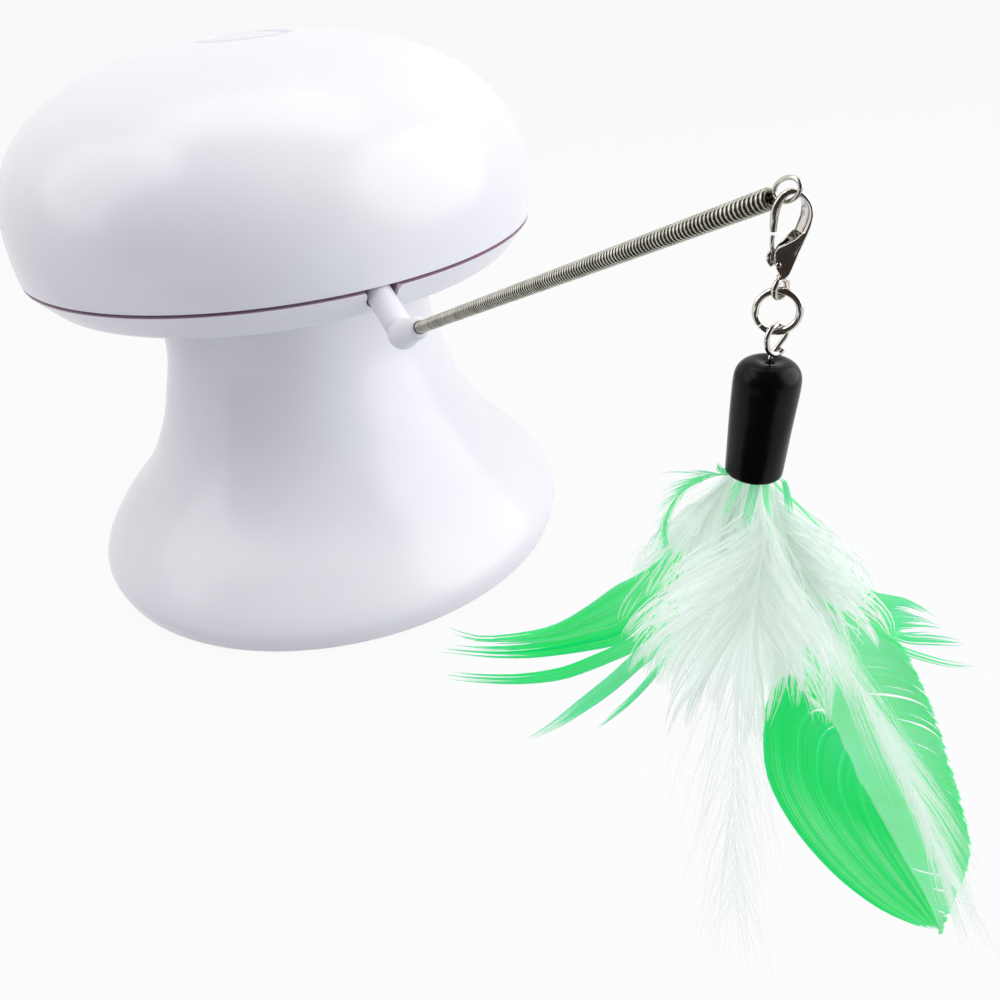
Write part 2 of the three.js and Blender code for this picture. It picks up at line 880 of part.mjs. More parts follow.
function headDome() {
  const outer = turned([[0, domeRim], ...domeOutline(0, 6)], shellSides);
  const hollow = domeOutline(domeWall, 4);
  const cavityBlank = turned([[0, domeRim - cutOverrun], [hollow[0][0], domeRim - cutOverrun], ...hollow], shellSides);
  const posts = headPostPlaces().map(([x, y]) => {
    const post = rod(headPostRadius, domeRim, domeTop, x, y, smallSides);
    const holeTop = panBottom + screwLength + screwHoleGap + seatGap;
    return cut(post, rod(screwRadius + screwHoleGap, domeRim - cutOverrun, holeTop, x, y, smallSides));
  });
  const wellInner = flangeRadius() + seatGap;
  const well = ringBlank(wellInner, wellInner + wellWall, wellBottom(), domeTop, roundSides);
  const cavity = cut(cavityBlank, well, ...posts);
  const flangeRoom = rod(wellInner, wellBottom(), domeTop - domeWall);
  const buttonHole = rod(buttonRadius + seatGap, wellBottom(), domeTop + cutOverrun);
  const windowHole = windowBlank(windowRadius + seatGap, headRadius - 2 * domeWall, headRadius + cutOverrun);
  return cut(outer, cavity, flangeRoom, buttonHole, windowHole);
}

// A round blank along -X at the laser's height, from an inner to an outer distance
function windowBlank(radius, near, far) {
  const blank = rod(radius, near, far, 0, 0, roundSides);
  return blank.rotateY(-Math.PI / 2).translate(0, 0, laserHeight);
}

function laserWindow() {
  const face = headRadius - windowFlange / 2;
  const back = face - windowThickness;
  const pane = windowBlank(windowRadius, back - windowFlange, face);
  return pane;
}

function laserModule() {
  const lensDepth = laserLensRadius / 2;
  const outline = [
    [0, 0],
    [laserRadius, 0],
    [laserRadius, laserLength],
    [laserLensRadius, laserLength],
    [laserLensRadius, laserLength - lensDepth],
    [0, laserLength - lensDepth],
  ];
  const barrel = turned(outline, smallSides).translate(0, 0, -laserLength);
  barrel.rotateY(-(90 + laserDip) * degree);
  return barrel.translate(-laserFace(), 0, laserHeight);
}

function laserFace() {
  return headRadius - windowFlange - windowThickness - laserSetBack - laserRadius * Math.sin(laserDip * degree);
}

function laserPost() {
  const far = laserFace() - laserLength / 4;
  const near = far - laserPostLength;
  const half = laserPostWidth / 2;
  const top = laserHeight + laserRadius * 2;
  const post = block(-far, -near, -half, half, panInside - cutOverrun, top);
  const bore = rod(laserRadius + seatGap, -laserLength * 2, laserLength, 0, 0, smallSides);
  bore.rotateY(-(90 + laserDip) * degree).translate(-laserFace(), 0, laserHeight);
  return cut(post, bore);
}

// The line of the arm root, from the elbow back into the head
function alongArm(geometry) {
  return geometry.rotateY((90 + armDip) * degree).translate(elbowReach, 0, elbowHeight);
}

function armSocket() {
  const farEnd = barrelLength + tenonLength - seatGap;
  const cosine = Math.cos(armDip * degree);
  const near = elbowReach - farEnd * cosine;
  const half = socketWidth / 2;
  const post = block(near, near + socketLength, -half, half, panInside - cutOverrun, panInside + socketHeight);
  const bore = alongArm(rod(tenonRadius + seatGap, -2 * farEnd, 0, 0, 0, smallSides));
  return cut(post, bore);
}

// A slot with a round foot, square to the arm and open at the top, for the barrel
function notchBlank() {
  const half = barrelRadius + notchGap;
  const shape = new THREE.Shape();
  shape.moveTo(-2 * half - panDepth, half);
  shape.absarc(0, 0, half, Math.PI / 2, -Math.PI / 2, true);
  shape.lineTo(-2 * half - panDepth, -half);
  shape.closePath();
  const start = barrelLength + tenonLength / 2;
  return alongArm(extruded(shape, -start, 0));
}

function headPan() {
  const hubInner = spindleRadius + runGap;
  const skirtInner = neckRadius + skirtGap;
  const skirtBottom = panBottom - skirtDepth;
  const edgeHeight = panBottom + panEdgeRise;
  const rimRadius = headRadius - domeRimInset;
  const outline = [
    [hubInner, panBottom],
    [skirtInner, panBottom],
    [skirtInner, skirtBottom],
    [skirtInner + skirtWall, skirtBottom],
    [skirtInner + skirtWall, panBottom],
    [panEdgeRadius - panCornerLength, panBottom],
    [panEdgeRadius - panCornerLength / 4, panBottom + panEdgeRise / 3],
    [panEdgeRadius, edgeHeight],
    [rimRadius, panRim],
    [rimRadius - panWall, panRim],
    [panEdgeRadius - panWall, panInside],
    [hubInner + hubWall, panInside],
    [hubInner + hubWall, hubTop],
    [hubInner, hubTop],
    [hubInner, panBottom],
  ];
  const blank = turned(outline, shellSides);
  const bossTop = domeRim - seatGap;
  const bosses = headPostPlaces().map(([x, y]) => rod(
    headPostRadius, panInside - panFloor / 2, Math.min(bossTop, panInside + panBossHeight), x, y, smallSides,
  ));
  const [axleX, axleY] = compoundPlace();
  const axleBoss = rod(axleBossRadius, panInside - panFloor / 2, axleSeat, axleX, axleY, smallSides);
  const axleHole = rod(axleRadius + runGap, panInside, axleSeat + cutOverrun, axleX, axleY, smallSides);
  const wells = headPostPlaces().map(([x, y]) => screwWell(x, y, panBottom, domeRim));
  return cut(join(blank, ...bosses, axleBoss, laserPost(), armSocket()), notchBlank(), axleHole, ...wells);
}

function modeButton() {
  const flangeTopHeight = buttonFlangeTop();
  const flangeBottom = flangeTopHeight - buttonFlangeHeight;
  const stemBottom = switchTop() + buttonTravel + seatGap;
  const outline = [
    [0, stemBottom],
    [buttonStemRadius, stemBottom],
    [buttonStemRadius, flangeBottom],
    [flangeRadius(), flangeBottom],
    [flangeRadius(), flangeTopHeight],
    [buttonRadius, flangeTopHeight],
    [buttonRadius, buttonTop()],
    [buttonRadius * 0.8, buttonTop() + buttonCrown * 0.7],
    [0, buttonTop() + buttonCrown],
  ];
  return turned(outline, roundSides);
}

function switchTop() {
  return wellBottom() - seatGap + switchHeight + switchPlungerHeight;
}

function controlBoard() {
  const radius = flangeRadius() + wellWall;
  return rod(radius, boardBottom, boardBottom + boardThickness);
}

function tactSwitch() {
  const half = switchSize / 2;
  const bottom = wellBottom();
  const body = block(-half, half, -half, half, bottom, switchTop() - switchPlungerHeight);
  const plunger = rod(switchPlungerRadius, bottom, switchTop(), 0, 0, smallSides);
  return join(body, plunger);
}

// The arm root: a barrel through the notch, a tenon into its socket and a pin for the elbow
function armRoot() {
  const barrelEnd = -ballRadius / 2;
  const barrelStart = -barrelLength;
  const barrel = rod(barrelRadius, barrelStart, barrelEnd, 0, 0, roundSides);
  const ballRoom = closed(new THREE.SphereGeometry(ballRadius + ballGap, ballSides, tinySides));
  const tenon = rod(tenonRadius, barrelStart - tenonLength, barrelStart + cutOverrun, 0, 0, smallSides);
  const pinStart = -ballRadius - pivotPinLength;
  const pin = rod(pivotPinRadius, pinStart, -ballRadius + pivotPinSink, 0, 0, smallSides);
  return alongArm(join(cut(barrel, ballRoom), tenon, pin));
}

// The elbow: a ball that turns on the root's pin, drawn out to the mouth that grips the spring
function elbow() {
  const ball = closed(new THREE.SphereGeometry(ballRadius, ballSides, tinySides));
  const pinRoom = rod(
    pivotPinRadius + runGap, -2 * ballRadius, -ballRadius + pivotPinSink + seatGap, 0, 0, smallSides,
  );
  const turn = (90 + armDip) * degree;
  const drawn = turned([
    [0, 0],
    [neckOutRadius, 0],
    [mouthRadius, mouthReach],
    [0, mouthReach],
  ], roundSides);
  const bore = rod(springRadius + seatGap, springStart - seatGap, mouthReach + cutOverrun, 0, 0, smallSides);
  const rise = (90 - springRise) * degree;
  const body = join(ball, closed(drawn.rotateY(rise)));
  const made = cut(body, closed(pinRoom.rotateY(turn)), closed(bore.rotateY(rise)));
  return made.translate(elbowReach, 0, elbowHeight);
}

// The spring is one wire: a short straight end, the turns, and a short straight end
function springRoute() {
  const points = [];
  const outwards = [];
  const turnsStart = springStart + 2 * springWire;
  const turnsEnd = springEnd - 2 * springWire;
  const pitch = (turnsEnd - turnsStart) / springTurns;
  const place = (angle, height) => {
    const out = new THREE.Vector3(Math.cos(angle), Math.sin(angle), 0);
    points.push(out.clone().multiplyScalar(springMeanRadius).setZ(height));
    outwards.push(out);
  };
  place(0, springStart);
  place(0, springStart + springWire);
  for (let step = 1; step < springTurns * stepsPerTurn; step++) {
    place(2 * Math.PI * step / stepsPerTurn, turnsStart + pitch * step / stepsPerTurn);
  }
  place(0, springEnd - springWire);
  place(0, springEnd);
  return { points, outwards };
}

// The least clear space between one turn of the wire and the others
function leastGap(points, thickness) {
  let least = Infinity;
  for (let i = 0; i < points.length; i++) {
    for (let j = i + stepsPerTurn / 2; j < Math.min(i + 2 * stepsPerTurn, points.length); j++) {
      least = Math.min(least, points[i].distanceTo(points[j]) - thickness);
    }
  }
  return least;
}

function spring() {
  const { points, outwards } = springRoute();
  const gap = leastGap(points, springWire);
  console.log(`spring: ${springTurns} turns, least gap ${gap.toFixed(3)} mm, wanted over ${leastSpringGap} mm`);
  return wire(points, outwards, springWire / 2, wireSides);
}

// A round wire loop in the x-z plane
function loop(radius, thickness, steps = ringSteps) {
  return closed(new THREE.TorusGeometry(radius, thickness / 2, loopSides, steps).rotateX(Math.PI / 2));
}

// The end loop stands in the spring's own plane, on a stem in the last turns
function springEye() {
  const ring = loop(eyeRadius, eyeWire);
  const stem = rod(eyeWire / 2, -eyeRadius - eyeStemLength, -eyeRadius, 0, 0, tinySides);
  return join(ring, closed(stem));
}

function bent(knots, halfDepth, halfWidth, steps) {
  const route = new THREE.CatmullRomCurve3(knots.map(([x, z]) => new THREE.Vector3(x, 0, z)));
  const section = new THREE.Shape();
  section.absellipse(0, 0, halfDepth, halfWidth, 0, 2 * Math.PI, false, 0);
  return closed(new THREE.ExtrudeGeometry(section, {
    steps, extrudePath: route, curveSegments: tinySides / 2,
  }));
}

// An outline in the clasp's own plane, given depth to both sides
function slab(outline, depth) {
  const shape = new THREE.Shape(outline.map(([x, z]) => new THREE.Vector2(x, z)));
  const blank = new THREE.ExtrudeGeometry(shape, { depth, bevelEnabled: false });
  return closed(blank.translate(0, 0, -depth / 2).rotateX(Math.PI / 2));
}

function acrossRod(radius, depth, x, z, sides = tinySides) {
  return rod(radius, -depth / 2, depth / 2, 0, 0, sides).rotateX(Math.PI / 2).translate(x, 0, z);
}

function claspBody() {
  const height = claspNeck;
  const hook = bent([
    [-hookLeft, -claspSplit],
    [-hookLeft * 1.12, -claspSplit * 0.7],
    [-hookLeft * 1.02, -claspSplit * 0.36],
    [-hookLeft * 0.42, -hookTop],
    [hookRight * 0.3, -hookTop],
    [hookRight * 0.72, -claspSplit * 0.24],
    [hookRight * 0.97, -claspSplit * 0.52],
    [hookRight, -height * 0.4],
    [hookRight * 0.8, -height * 0.56],
    [hookRight * 0.42, -height * 0.74],
    [hookRight * 0.1, -height * 0.9],
  ], hookDepth / 2, hookWidth / 2, 20);
  const web = slab([
    [hookRight * 0.86, -height * 0.5],
    [hookRight * 0.66, -height * 0.68],
    [hookRight * 0.24, -height * 0.93],
    [tailWire / 2, -height],
    [-tailWire / 2, -height],
    [-pivotSide - knuckleRadius, -pivotDrop - knuckleRadius / 2],
    [-pivotSide - knuckleRadius, -pivotDrop + knuckleRadius / 2],
    [-pivotSide + knuckleRadius, -pivotDrop + knuckleRadius * 1.6],
  ], claspDepth);
  const neck = rod(tailWire / 2, -tailDrop + tailRadius - tailWire / 4, -height * 0.93, 0, 0, tinySides);
  const tail = loop(tailRadius, tailWire, 16).rotateZ(Math.PI / 2).translate(0, 0, -tailDrop);
  const room = knuckleRadius + gateGap;
  const slotDepth = gateDepth + 2 * gateGap;
  const slot = block(
    -pivotSide - 2 * room, -pivotSide + room, -slotDepth / 2, slotDepth / 2,
    -pivotDrop - room, -pivotDrop + 2 * room,
  );
  const bore = acrossRod(gatePinRadius + gateGap / 2, 2 * claspDepth, -pivotSide, -pivotDrop);
  return cut(join(hook, web, neck, tail), slot, bore);
}

// The gate is a springy strip from its pivot up to the hook's tip
function claspGate() {
  const top = claspSplit + gateGap * 2;
  const strip = slab([
    [-hookLeft - gateWidth / 2, -top],
    [-hookLeft * 0.98 - gateWidth / 2, -top - (pivotDrop - top) / 2],
    [-pivotSide - knuckleRadius * 0.9, -pivotDrop],
    [-pivotSide - knuckleRadius * 0.5, -pivotDrop - knuckleRadius * 0.6],
    [-pivotSide + knuckleRadius * 0.6, -pivotDrop - knuckleRadius * 0.4],
    [-pivotSide + knuckleRadius * 0.8, -pivotDrop + knuckleRadius * 0.3],
    [-hookLeft + gateWidth / 2, -top - (pivotDrop - top) / 2],
    [-hookLeft + gateWidth / 2, -top],
  ], gateDepth);
  return cut(strip, acrossRod(gatePinRadius + gateGap / 2, 2 * claspDepth, -pivotSide, -pivotDrop));
}

function gatePin() {
  return acrossRod(gatePinRadius, claspDepth, -pivotSide, -pivotDrop);
}

function ringCentre() {
  return -tailDrop - ringPlay - ringRadius;
}

function jumpRing() {
  return loop(ringRadius, ringWire).translate(0, 0, ringCentre());
}

function capEyeCentre() {
  return ringCentre() - ringRadius + ringWire / 2 + capEyeWire / 2 + capEyeRest - capEyeRadius;
}

function capTop() {
  return -capTopDrop;
}

function capEye() {
  const ring = loop(capEyeRadius, capEyeWire, 16).rotateZ(capEyeTurn * degree).translate(0, 0, capEyeCentre());
  const shankTop = capEyeCentre() - capEyeRadius + capEyeWire / 4;
  const shank = rod(shankRadius, quillTop() + seatGap, shankTop, 0, 0, tinySides);
  return join(ring, shank);
}

function quillTop() {
  return capTop() - capLength + quillLength;
}

// A soft vinyl cap: a domed top with a hole for the wire, and a long mouth
function featherCap() {
  const top = capTop();
  const mouth = top - capLength;
  const hole = shankRadius + seatGap;
  const roof = top - capRoof;
  const outline = [
    [hole, top - capRoof / 3],
    [capTopRadius * 0.4, top],
    [capTopRadius * 0.78, top - capCorner * 0.28],
    [capTopRadius, top - capCorner],
    [capTopRadius, top - capCorner * 2],
    [capMouthRadius, mouth + capWall],
    [capMouthRadius - capWall / 2, mouth],
    [capMouthRadius - capWall, mouth],
    [capTopRadius - capWall, top - capCorner * 2],
    [capTopRadius * 0.6, roof],
    [hole, roof],
    [hole, top - capRoof / 3],
  ];
  return turned(outline, ballSides);
}

// Feathers: each has its quill's place in the bundle, the way it heads and faces, and its shares of
// the reach, drop, width and thickness of its kind. Its widest place lies at its peak share.
const leafSteps = 10;
const leafSides = 6;
const leafTipShare = 0.06;

const plume = { reach: plumeReach, drop: plumeDrop, width: plumeWidth, thickness: plumeThickness };
const trailing = { reach: plumeReach, drop: trailDrop, width: trailWidth, thickness: trailThickness };
const vane = { reach: vaneReach, drop: vaneDrop, width: vaneWidth, thickness: vaneThickness };
const strand = { reach: strandReach, drop: strandDrop, width: strandWidth, thickness: vaneThickness };
const curl = { reach: curlReach, drop: curlReach, width: curlWidth, thickness: vaneThickness };

const featherShares = [
  { name: 'white_plume_1', kind: plume, quill: ['outer', 155], heading: 152, face: 152,
    shares: [1, 0.9, 1, 1], bow: 0.5, peak: 0.58 },
  { name: 'white_plume_2', kind: plume, quill: ['outer', 55], heading: 40, face: 40,
    shares: [1.15, 0.8, 1, 1], bow: 0.5, peak: 0.58 },
  { name: 'white_plume_3', kind: plume, quill: ['outer', 285], heading: 266, face: 266,
    shares: [0.75, 0.96, 1.5, 1], bow: 0.5, peak: 0.58 },
  { name: 'white_plume_4', kind: plume, quill: ['outer', 105], heading: 96, face: 96,
    shares: [0.95, 1, 0.9, 1], bow: 0.5, peak: 0.58 },
  { name: 'white_plume_5', kind: trailing, quill: ['inner', 0], heading: 150, face: 270,
    shares: [0.15, 1, 1, 1], bow: 0.4, peak: 0.72 },
  { name: 'green_feather_1', kind: vane, quill: ['outer', 325], heading: 352, face: 262,
    shares: [1, 1, 1, 1], bow: 0.2, peak: 0.62 },
  { name: 'green_feather_2', kind: strand, quill: ['outer', 10], heading: 358, face: 80,
    shares: [0.7, 0.7, 1, 1], bow: 0.5, peak: 0.68 },
  { name: 'green_feather_3', kind: strand, quill: ['inner', 180], heading: 187, face: 270,
    shares: [1, 1, 1, 1], bow: 0.5, peak: 0.68 },
  { name: 'green_feather_4', kind: strand, quill: ['outer', 240], heading: 207, face: 285,
    shares: [0.72, 1.3, 0.8, 1], bow: 0.4, peak: 0.68 },
  { name: 'green_feather_5', kind: curl, quill: ['outer', 200], heading: 196, face: 196,
    shares: [1, 1, 1, 1], bow: 0.9, peak: 0.5 },
];

function quillPlace([circle, azimuth]) {
  return around(circle === 'inner' ? innerQuillCircle : outerQuillCircle, azimuth);
}

function leafWidthShare(share, peak) {
  const bent = share ** (Math.log(0.5) / Math.log(peak));
  return Math.max(leafTipShare, Math.sin(Math.PI * bent) ** 0.9);
}

function feather({ kind, quill, heading, face, shares, bow, peak }) {
  const [reachShare, dropShare, widthShare, thicknessShare] = shares;
  const reach = kind.reach * reachShare;
  const drop = kind.drop * dropShare;
  const width = kind.width * widthShare;
  const thickness = kind.thickness * thicknessShare;
  const [x, y] = quillPlace(quill);
  const [outX, outY] = around(1, heading);
  const mouth = capTop() - capLength;
  const start = new THREE.Vector3(x, y, mouth);
  const bend = new THREE.Vector3(x + outX * reach * bow, y + outY * reach * bow, mouth - drop * 0.5);
  const tip = new THREE.Vector3(x + outX * reach, y + outY * reach, mouth - drop);
  const blade = new THREE.QuadraticBezierCurve3(start, bend, tip).getPoints(leafSteps);
  const centres = [new THREE.Vector3(x, y, quillTop()), ...blade];
  const toward = new THREE.Vector3(...around(1, face), 0);
  const vertices = [];
  centres.forEach((centre, i) => {
    const share = leafWidthShare(Math.max(i - 1, 0) / leafSteps, peak);
    const bare = i < 2;
    const next = centres[Math.min(i + 1, centres.length - 1)];
    const along = next.clone().sub(centres[Math.max(i - 1, 0)]).normalize();
    const across = toward.clone().cross(along).normalize();
    const through = along.clone().cross(across);
    const halfWidth = bare ? quillRadius : Math.max(quillRadius, width / 2 * share);
    const halfThick = bare ? quillRadius : Math.max(quillRadius * 0.6, thickness / 2 * share);
    for (let k = 0; k < leafSides; k++) {
      const angle = 2 * Math.PI * k / leafSides;
      const spot = centre.clone();
      spot.addScaledVector(across, halfWidth * Math.cos(angle));
      spot.addScaledVector(through, halfThick * Math.sin(angle));
      vertices.push(spot.x, spot.y, spot.z);
    }
  });
  return lofted(vertices, centres.length, leafSides);
}

// Joins rings of points into a closed skin with flat ends
function lofted(vertices, rings, sides) {
  const faces = [];
  for (let i = 0; i < rings - 1; i++) {
    for (let k = 0; k < sides; k++) {
      const next = (k + 1) % sides;
      const [a, b, c, d] = [i * sides + k, i * sides + next, (i + 1) * sides + next, (i + 1) * sides + k];
      faces.push(a, b, c, a, c, d);
    }
  }
  const last = (rings - 1) * sides;
  for (let k = 1; k < sides - 1; k++) {
    faces.push(0, k + 1, k);
    faces.push(last, last + k, last + k + 1);
  }
  const geometry = new THREE.BufferGeometry();
  geometry.setAttribute('position', new THREE.Float32BufferAttribute(vertices, 3));
  geometry.setIndex(faces);
  return closed(geometry);
}

// Assembly
const toy = new THREE.Group();
const head = new THREE.Group();
const arm = new THREE.Group();
const hanging = new THREE.Group();
const bundle = new THREE.Group();
toy.add(head);
head.add(arm);
arm.add(hanging);
hanging.add(bundle);

function add(parent, name, geometry, material) {
  const mesh = new THREE.Mesh(geometry, material);
  mesh.name = name;
  parent.add(mesh);
  return mesh;
}

function buildBase() {
  add(toy, 'base_shell', baseShell(), glossWhite);
  add(toy, 'base_plate', basePlate(), innerWhite);
  add(toy, 'battery_door', batteryDoor(), innerWhite);
  add(toy, 'door_screw', screw(...doorScrewPlace(), rimHeight), zincSteel);
  plateScrewPlaces().forEach(([x, y], i) => {
    add(toy, `plate_screw_${i + 1}`, screw(x, y, rimHeight), zincSteel);
  });
  padPlaces().forEach(([x, y], i) => {
    add(toy, `foot_pad_${i + 1}`, footPad(x, y), rubber);
  });
  for (let i = 0; i < cellCount; i++) {
    const direction = i % 2 ? -1 : 1;
    add(toy, `battery_cell_${i + 1}`, cell(cellSpacing * (i - 1), direction), cellWrap);
  }
  const [first, middle, last] = [-cellSpacing, 0, cellSpacing];
  add(toy, 'contact_minus', contact(-1, [{ y: first, nub: false }]), brass);
  add(toy, 'contact_bridge_1', contact(1, [{ y: first, nub: true }, { y: middle, nub: false }]), brass);
  add(toy, 'contact_bridge_2', contact(-1, [{ y: middle, nub: true }, { y: last, nub: false }]), brass);
  add(toy, 'contact_plus', contact(1, [{ y: last, nub: true }]), brass);
  add(toy, 'neck_cap', neckCap(), innerWhite);
  add(toy, 'thrust_washer', thrustWasher(), acetal);
  add(toy, 'sun_gear', sunGear(), acetal);
  add(toy, 'spindle_clip', spindleClip(), zincSteel);
  add(toy, 'slip_ring_drum', slipRingDrum(), darkPlastic);
  for (let i = 0; i < 2; i++) {
    add(toy, `slip_ring_${i + 1}`, slipRing(i), brass);
  }
}

function buildHead() {
  add(head, 'head_pan', headPan(), glossWhite);
  add(head, 'head_dome', headDome(), glossWhite);
  headPostPlaces().forEach(([x, y], i) => {
    add(head, `pan_screw_${i + 1}`, screw(x, y, panBottom), zincSteel);
  });
  add(head, 'motor_bracket', motorBracket(), darkPlastic);
  add(head, 'gear_motor', gearMotor(), zincSteel);
  add(head, 'motor_pinion', motorPinion(), acetal);
  add(head, 'compound_gear', compoundGear(), acetal);
  add(head, 'gear_axle', gearAxle(), zincSteel);
  add(head, 'brush_block', brushBlock(), darkPlastic);
  add(head, 'control_board', controlBoard(), boardGreen);
  add(head, 'tact_switch', tactSwitch(), darkPlastic);
  add(head, 'laser_module', laserModule(), brass);
  add(head, 'laser_window', laserWindow(), redLens);
  add(head, 'mode_button', modeButton(), satinWhite);
  add(head, 'arm_root', armRoot(), satinWhite);
}

function buildArm() {
  add(head, 'elbow', elbow(), satinWhite);
  arm.position.set(elbowReach, 0, elbowHeight);
  arm.rotation.y = (90 - springRise) * degree;
  add(arm, 'spring', spring(), springSteel);
  add(arm, 'spring_eye', springEye().translate(0, 0, eyeReach), springSteel);
  hanging.position.set(0, 0, eyeReach);
  const upright = new THREE.Euler(0, -(90 - springRise) * degree, 0);
  const leaning = new THREE.Euler(0, toyLean * degree, toyTurn * degree, 'ZYX');
  hanging.quaternion.setFromEuler(upright);
  hanging.quaternion.multiply(new THREE.Quaternion().setFromEuler(leaning));
}

function buildHangingToy() {
  add(hanging, 'clasp_body', claspBody(), nickel);
  add(hanging, 'clasp_gate', claspGate(), nickel);
  add(hanging, 'gate_pin', gatePin(), nickel);
  add(hanging, 'jump_ring', jumpRing(), nickel);
  bundle.position.set(0, 0, ringCentre());
  bundle.rotation.y = capLean * degree;
  const inBundle = (geometry) => geometry.translate(0, 0, -ringCentre());
  add(bundle, 'cap_eye', inBundle(capEye()), nickel);
  add(bundle, 'feather_cap', inBundle(featherCap()), vinyl);
  featherShares.forEach((row) => {
    const material = row.name.startsWith('white') ? whiteFeather : greenFeather;
    add(bundle, row.name, inBundle(feather(row)), material);
  });
}

buildBase();
buildHead();
buildArm();
buildHangingToy();

export default toy;
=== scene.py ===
import json
import math

import bmesh
import bpy
import numpy as np
from mathutils import Matrix, Vector


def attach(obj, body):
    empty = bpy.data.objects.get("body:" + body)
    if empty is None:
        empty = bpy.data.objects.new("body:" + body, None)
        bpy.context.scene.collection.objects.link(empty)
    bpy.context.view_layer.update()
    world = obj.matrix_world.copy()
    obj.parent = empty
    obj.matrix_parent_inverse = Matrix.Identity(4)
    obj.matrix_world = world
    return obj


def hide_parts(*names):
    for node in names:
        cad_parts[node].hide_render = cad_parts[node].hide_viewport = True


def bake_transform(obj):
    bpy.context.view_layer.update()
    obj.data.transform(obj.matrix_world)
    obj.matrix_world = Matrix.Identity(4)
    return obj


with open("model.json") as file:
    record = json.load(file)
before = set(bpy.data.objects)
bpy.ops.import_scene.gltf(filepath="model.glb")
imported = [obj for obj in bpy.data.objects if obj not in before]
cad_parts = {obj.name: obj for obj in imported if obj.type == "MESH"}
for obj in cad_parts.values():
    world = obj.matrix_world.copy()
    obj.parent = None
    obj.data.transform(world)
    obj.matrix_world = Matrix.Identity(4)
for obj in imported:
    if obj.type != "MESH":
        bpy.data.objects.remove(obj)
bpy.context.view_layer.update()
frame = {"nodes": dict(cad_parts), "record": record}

mm = 0.001
deg = math.pi / 180
nodes = frame["nodes"]

print("camera and light")

view = {
    "place": (278.33, -81.39, 167.38),
    "right": (0.5001, 0.8618, -0.0849),
    "down": (0.4012, -0.3175, -0.8592),
    "forward": (-0.7674, 0.3956, -0.5045),
    "lens": 34.776,
}
studio = {
    "floor": 0.93,  # share of the floor that is paper white to the camera; the rest keeps the shadow
    "floorReach": 60.0,
    "floorDrop": 0.05,  # below the feet, so that the two faces never fight
    "floorColour": (0.62, 0.62, 0.66, 1),
    "world": 0.34,
    "worldTint": (0.88, 0.9, 1, 1),
    "lamps": [  # name, place, aims at, size, watts
        ("top", (60, -40, 820), (60, 0, 60), 900, 2.3),
        ("right", (480, 590, 360), (60, 0, 80), 1000, 5.1),
        ("left", (-120, -600, 560), (40, 0, 100), 800, 1.8),
    ],
    "cards": [  # dark cards beside the camera, on the floor before the toy, and overhead: place, aim, size
        ((500, -300, 380), (200, 0, 380), (1300, 740)),
        ((372, -176, 2), (372, -176, 100), (420, 330)),
        ((330, -90, 640), (150, 20, 100), (620, 520))],
    "cardColour": (0.075, 0.062, 0.054, 1),
}


def linear(red, green, blue):
    # a colour as a photograph gives it, 0 to 255, as Blender wants it
    def one(v):
        v /= 255
        return v / 12.92 if v <= 0.04045 else ((v + 0.055) / 1.055) ** 2.4
    return (one(red), one(green), one(blue), 1)


def moveTo(place):
    # a shift to a place in millimetres
    return Matrix.Translation(Vector(place) * mm)


def turnBy(angle, axis, size=4):
    return Matrix.Rotation(angle * deg, size, axis)


def inScene(name, data):
    made = bpy.data.objects.new(name, data)
    bpy.context.scene.collection.objects.link(made)
    return made


def makeCamera():
    data = bpy.data.cameras.new("camera")
    data.lens = view["lens"]
    data.sensor_width = 36
    data.clip_start = 0.01
    data.clip_end = 120
    camera = inScene("camera", data)
    right, down, forward = (Vector(view[k]).normalized() for k in ("right", "down", "forward"))
    turn = Matrix((right, -down, -forward)).transposed()
    camera.matrix_world = moveTo(view["place"]) @ turn.to_4x4()
    bpy.context.scene.camera = camera


def aimed(place, aim):
    # a frame at a place in millimetres whose -Z looks at the aim
    turn = (Vector(aim) - Vector(place)).to_track_quat("-Z", "Y").to_matrix().to_4x4()
    return moveTo(place) @ turn


def makeLamp(name, place, aim, size, watts):
    data = bpy.data.lights.new(name, "AREA")
    data.shape = "DISK"
    data.size = size * mm
    data.energy = watts
    inScene(name, data).matrix_world = aimed(place, aim)


class Wire:
    # a shader socket; an expression on it adds its Math nodes
    def __init__(self, finish, socket):
        self.finish = finish
        self.socket = socket

    def maths(self, operation, first, second=None):
        values = {0: first}
        if second is not None:
            values[1] = second
        return self.finish.node("ShaderNodeMath", {"operation": operation}, values)

    def __add__(self, other):
        return self.maths("ADD", self, other)

    def __radd__(self, other):
        return self.maths("ADD", other, self)

    def __sub__(self, other):
        return self.maths("SUBTRACT", self, other)

    def __rsub__(self, other):
        return self.maths("SUBTRACT", other, self)

    def __mul__(self, other):
        return self.maths("MULTIPLY", self, other)

    def __pow__(self, other):
        return self.maths("POWER", self, other)

    def orMore(self, other):
        return self.maths("MAXIMUM", self, other)

    def between(self, low, high):
        # 0 at low, 1 at high, and smooth between
        settings = {"interpolation_type": "SMOOTHSTEP"}
        return self.finish.node("ShaderNodeMapRange", settings, {"Value": self, 1: low, 2: high})


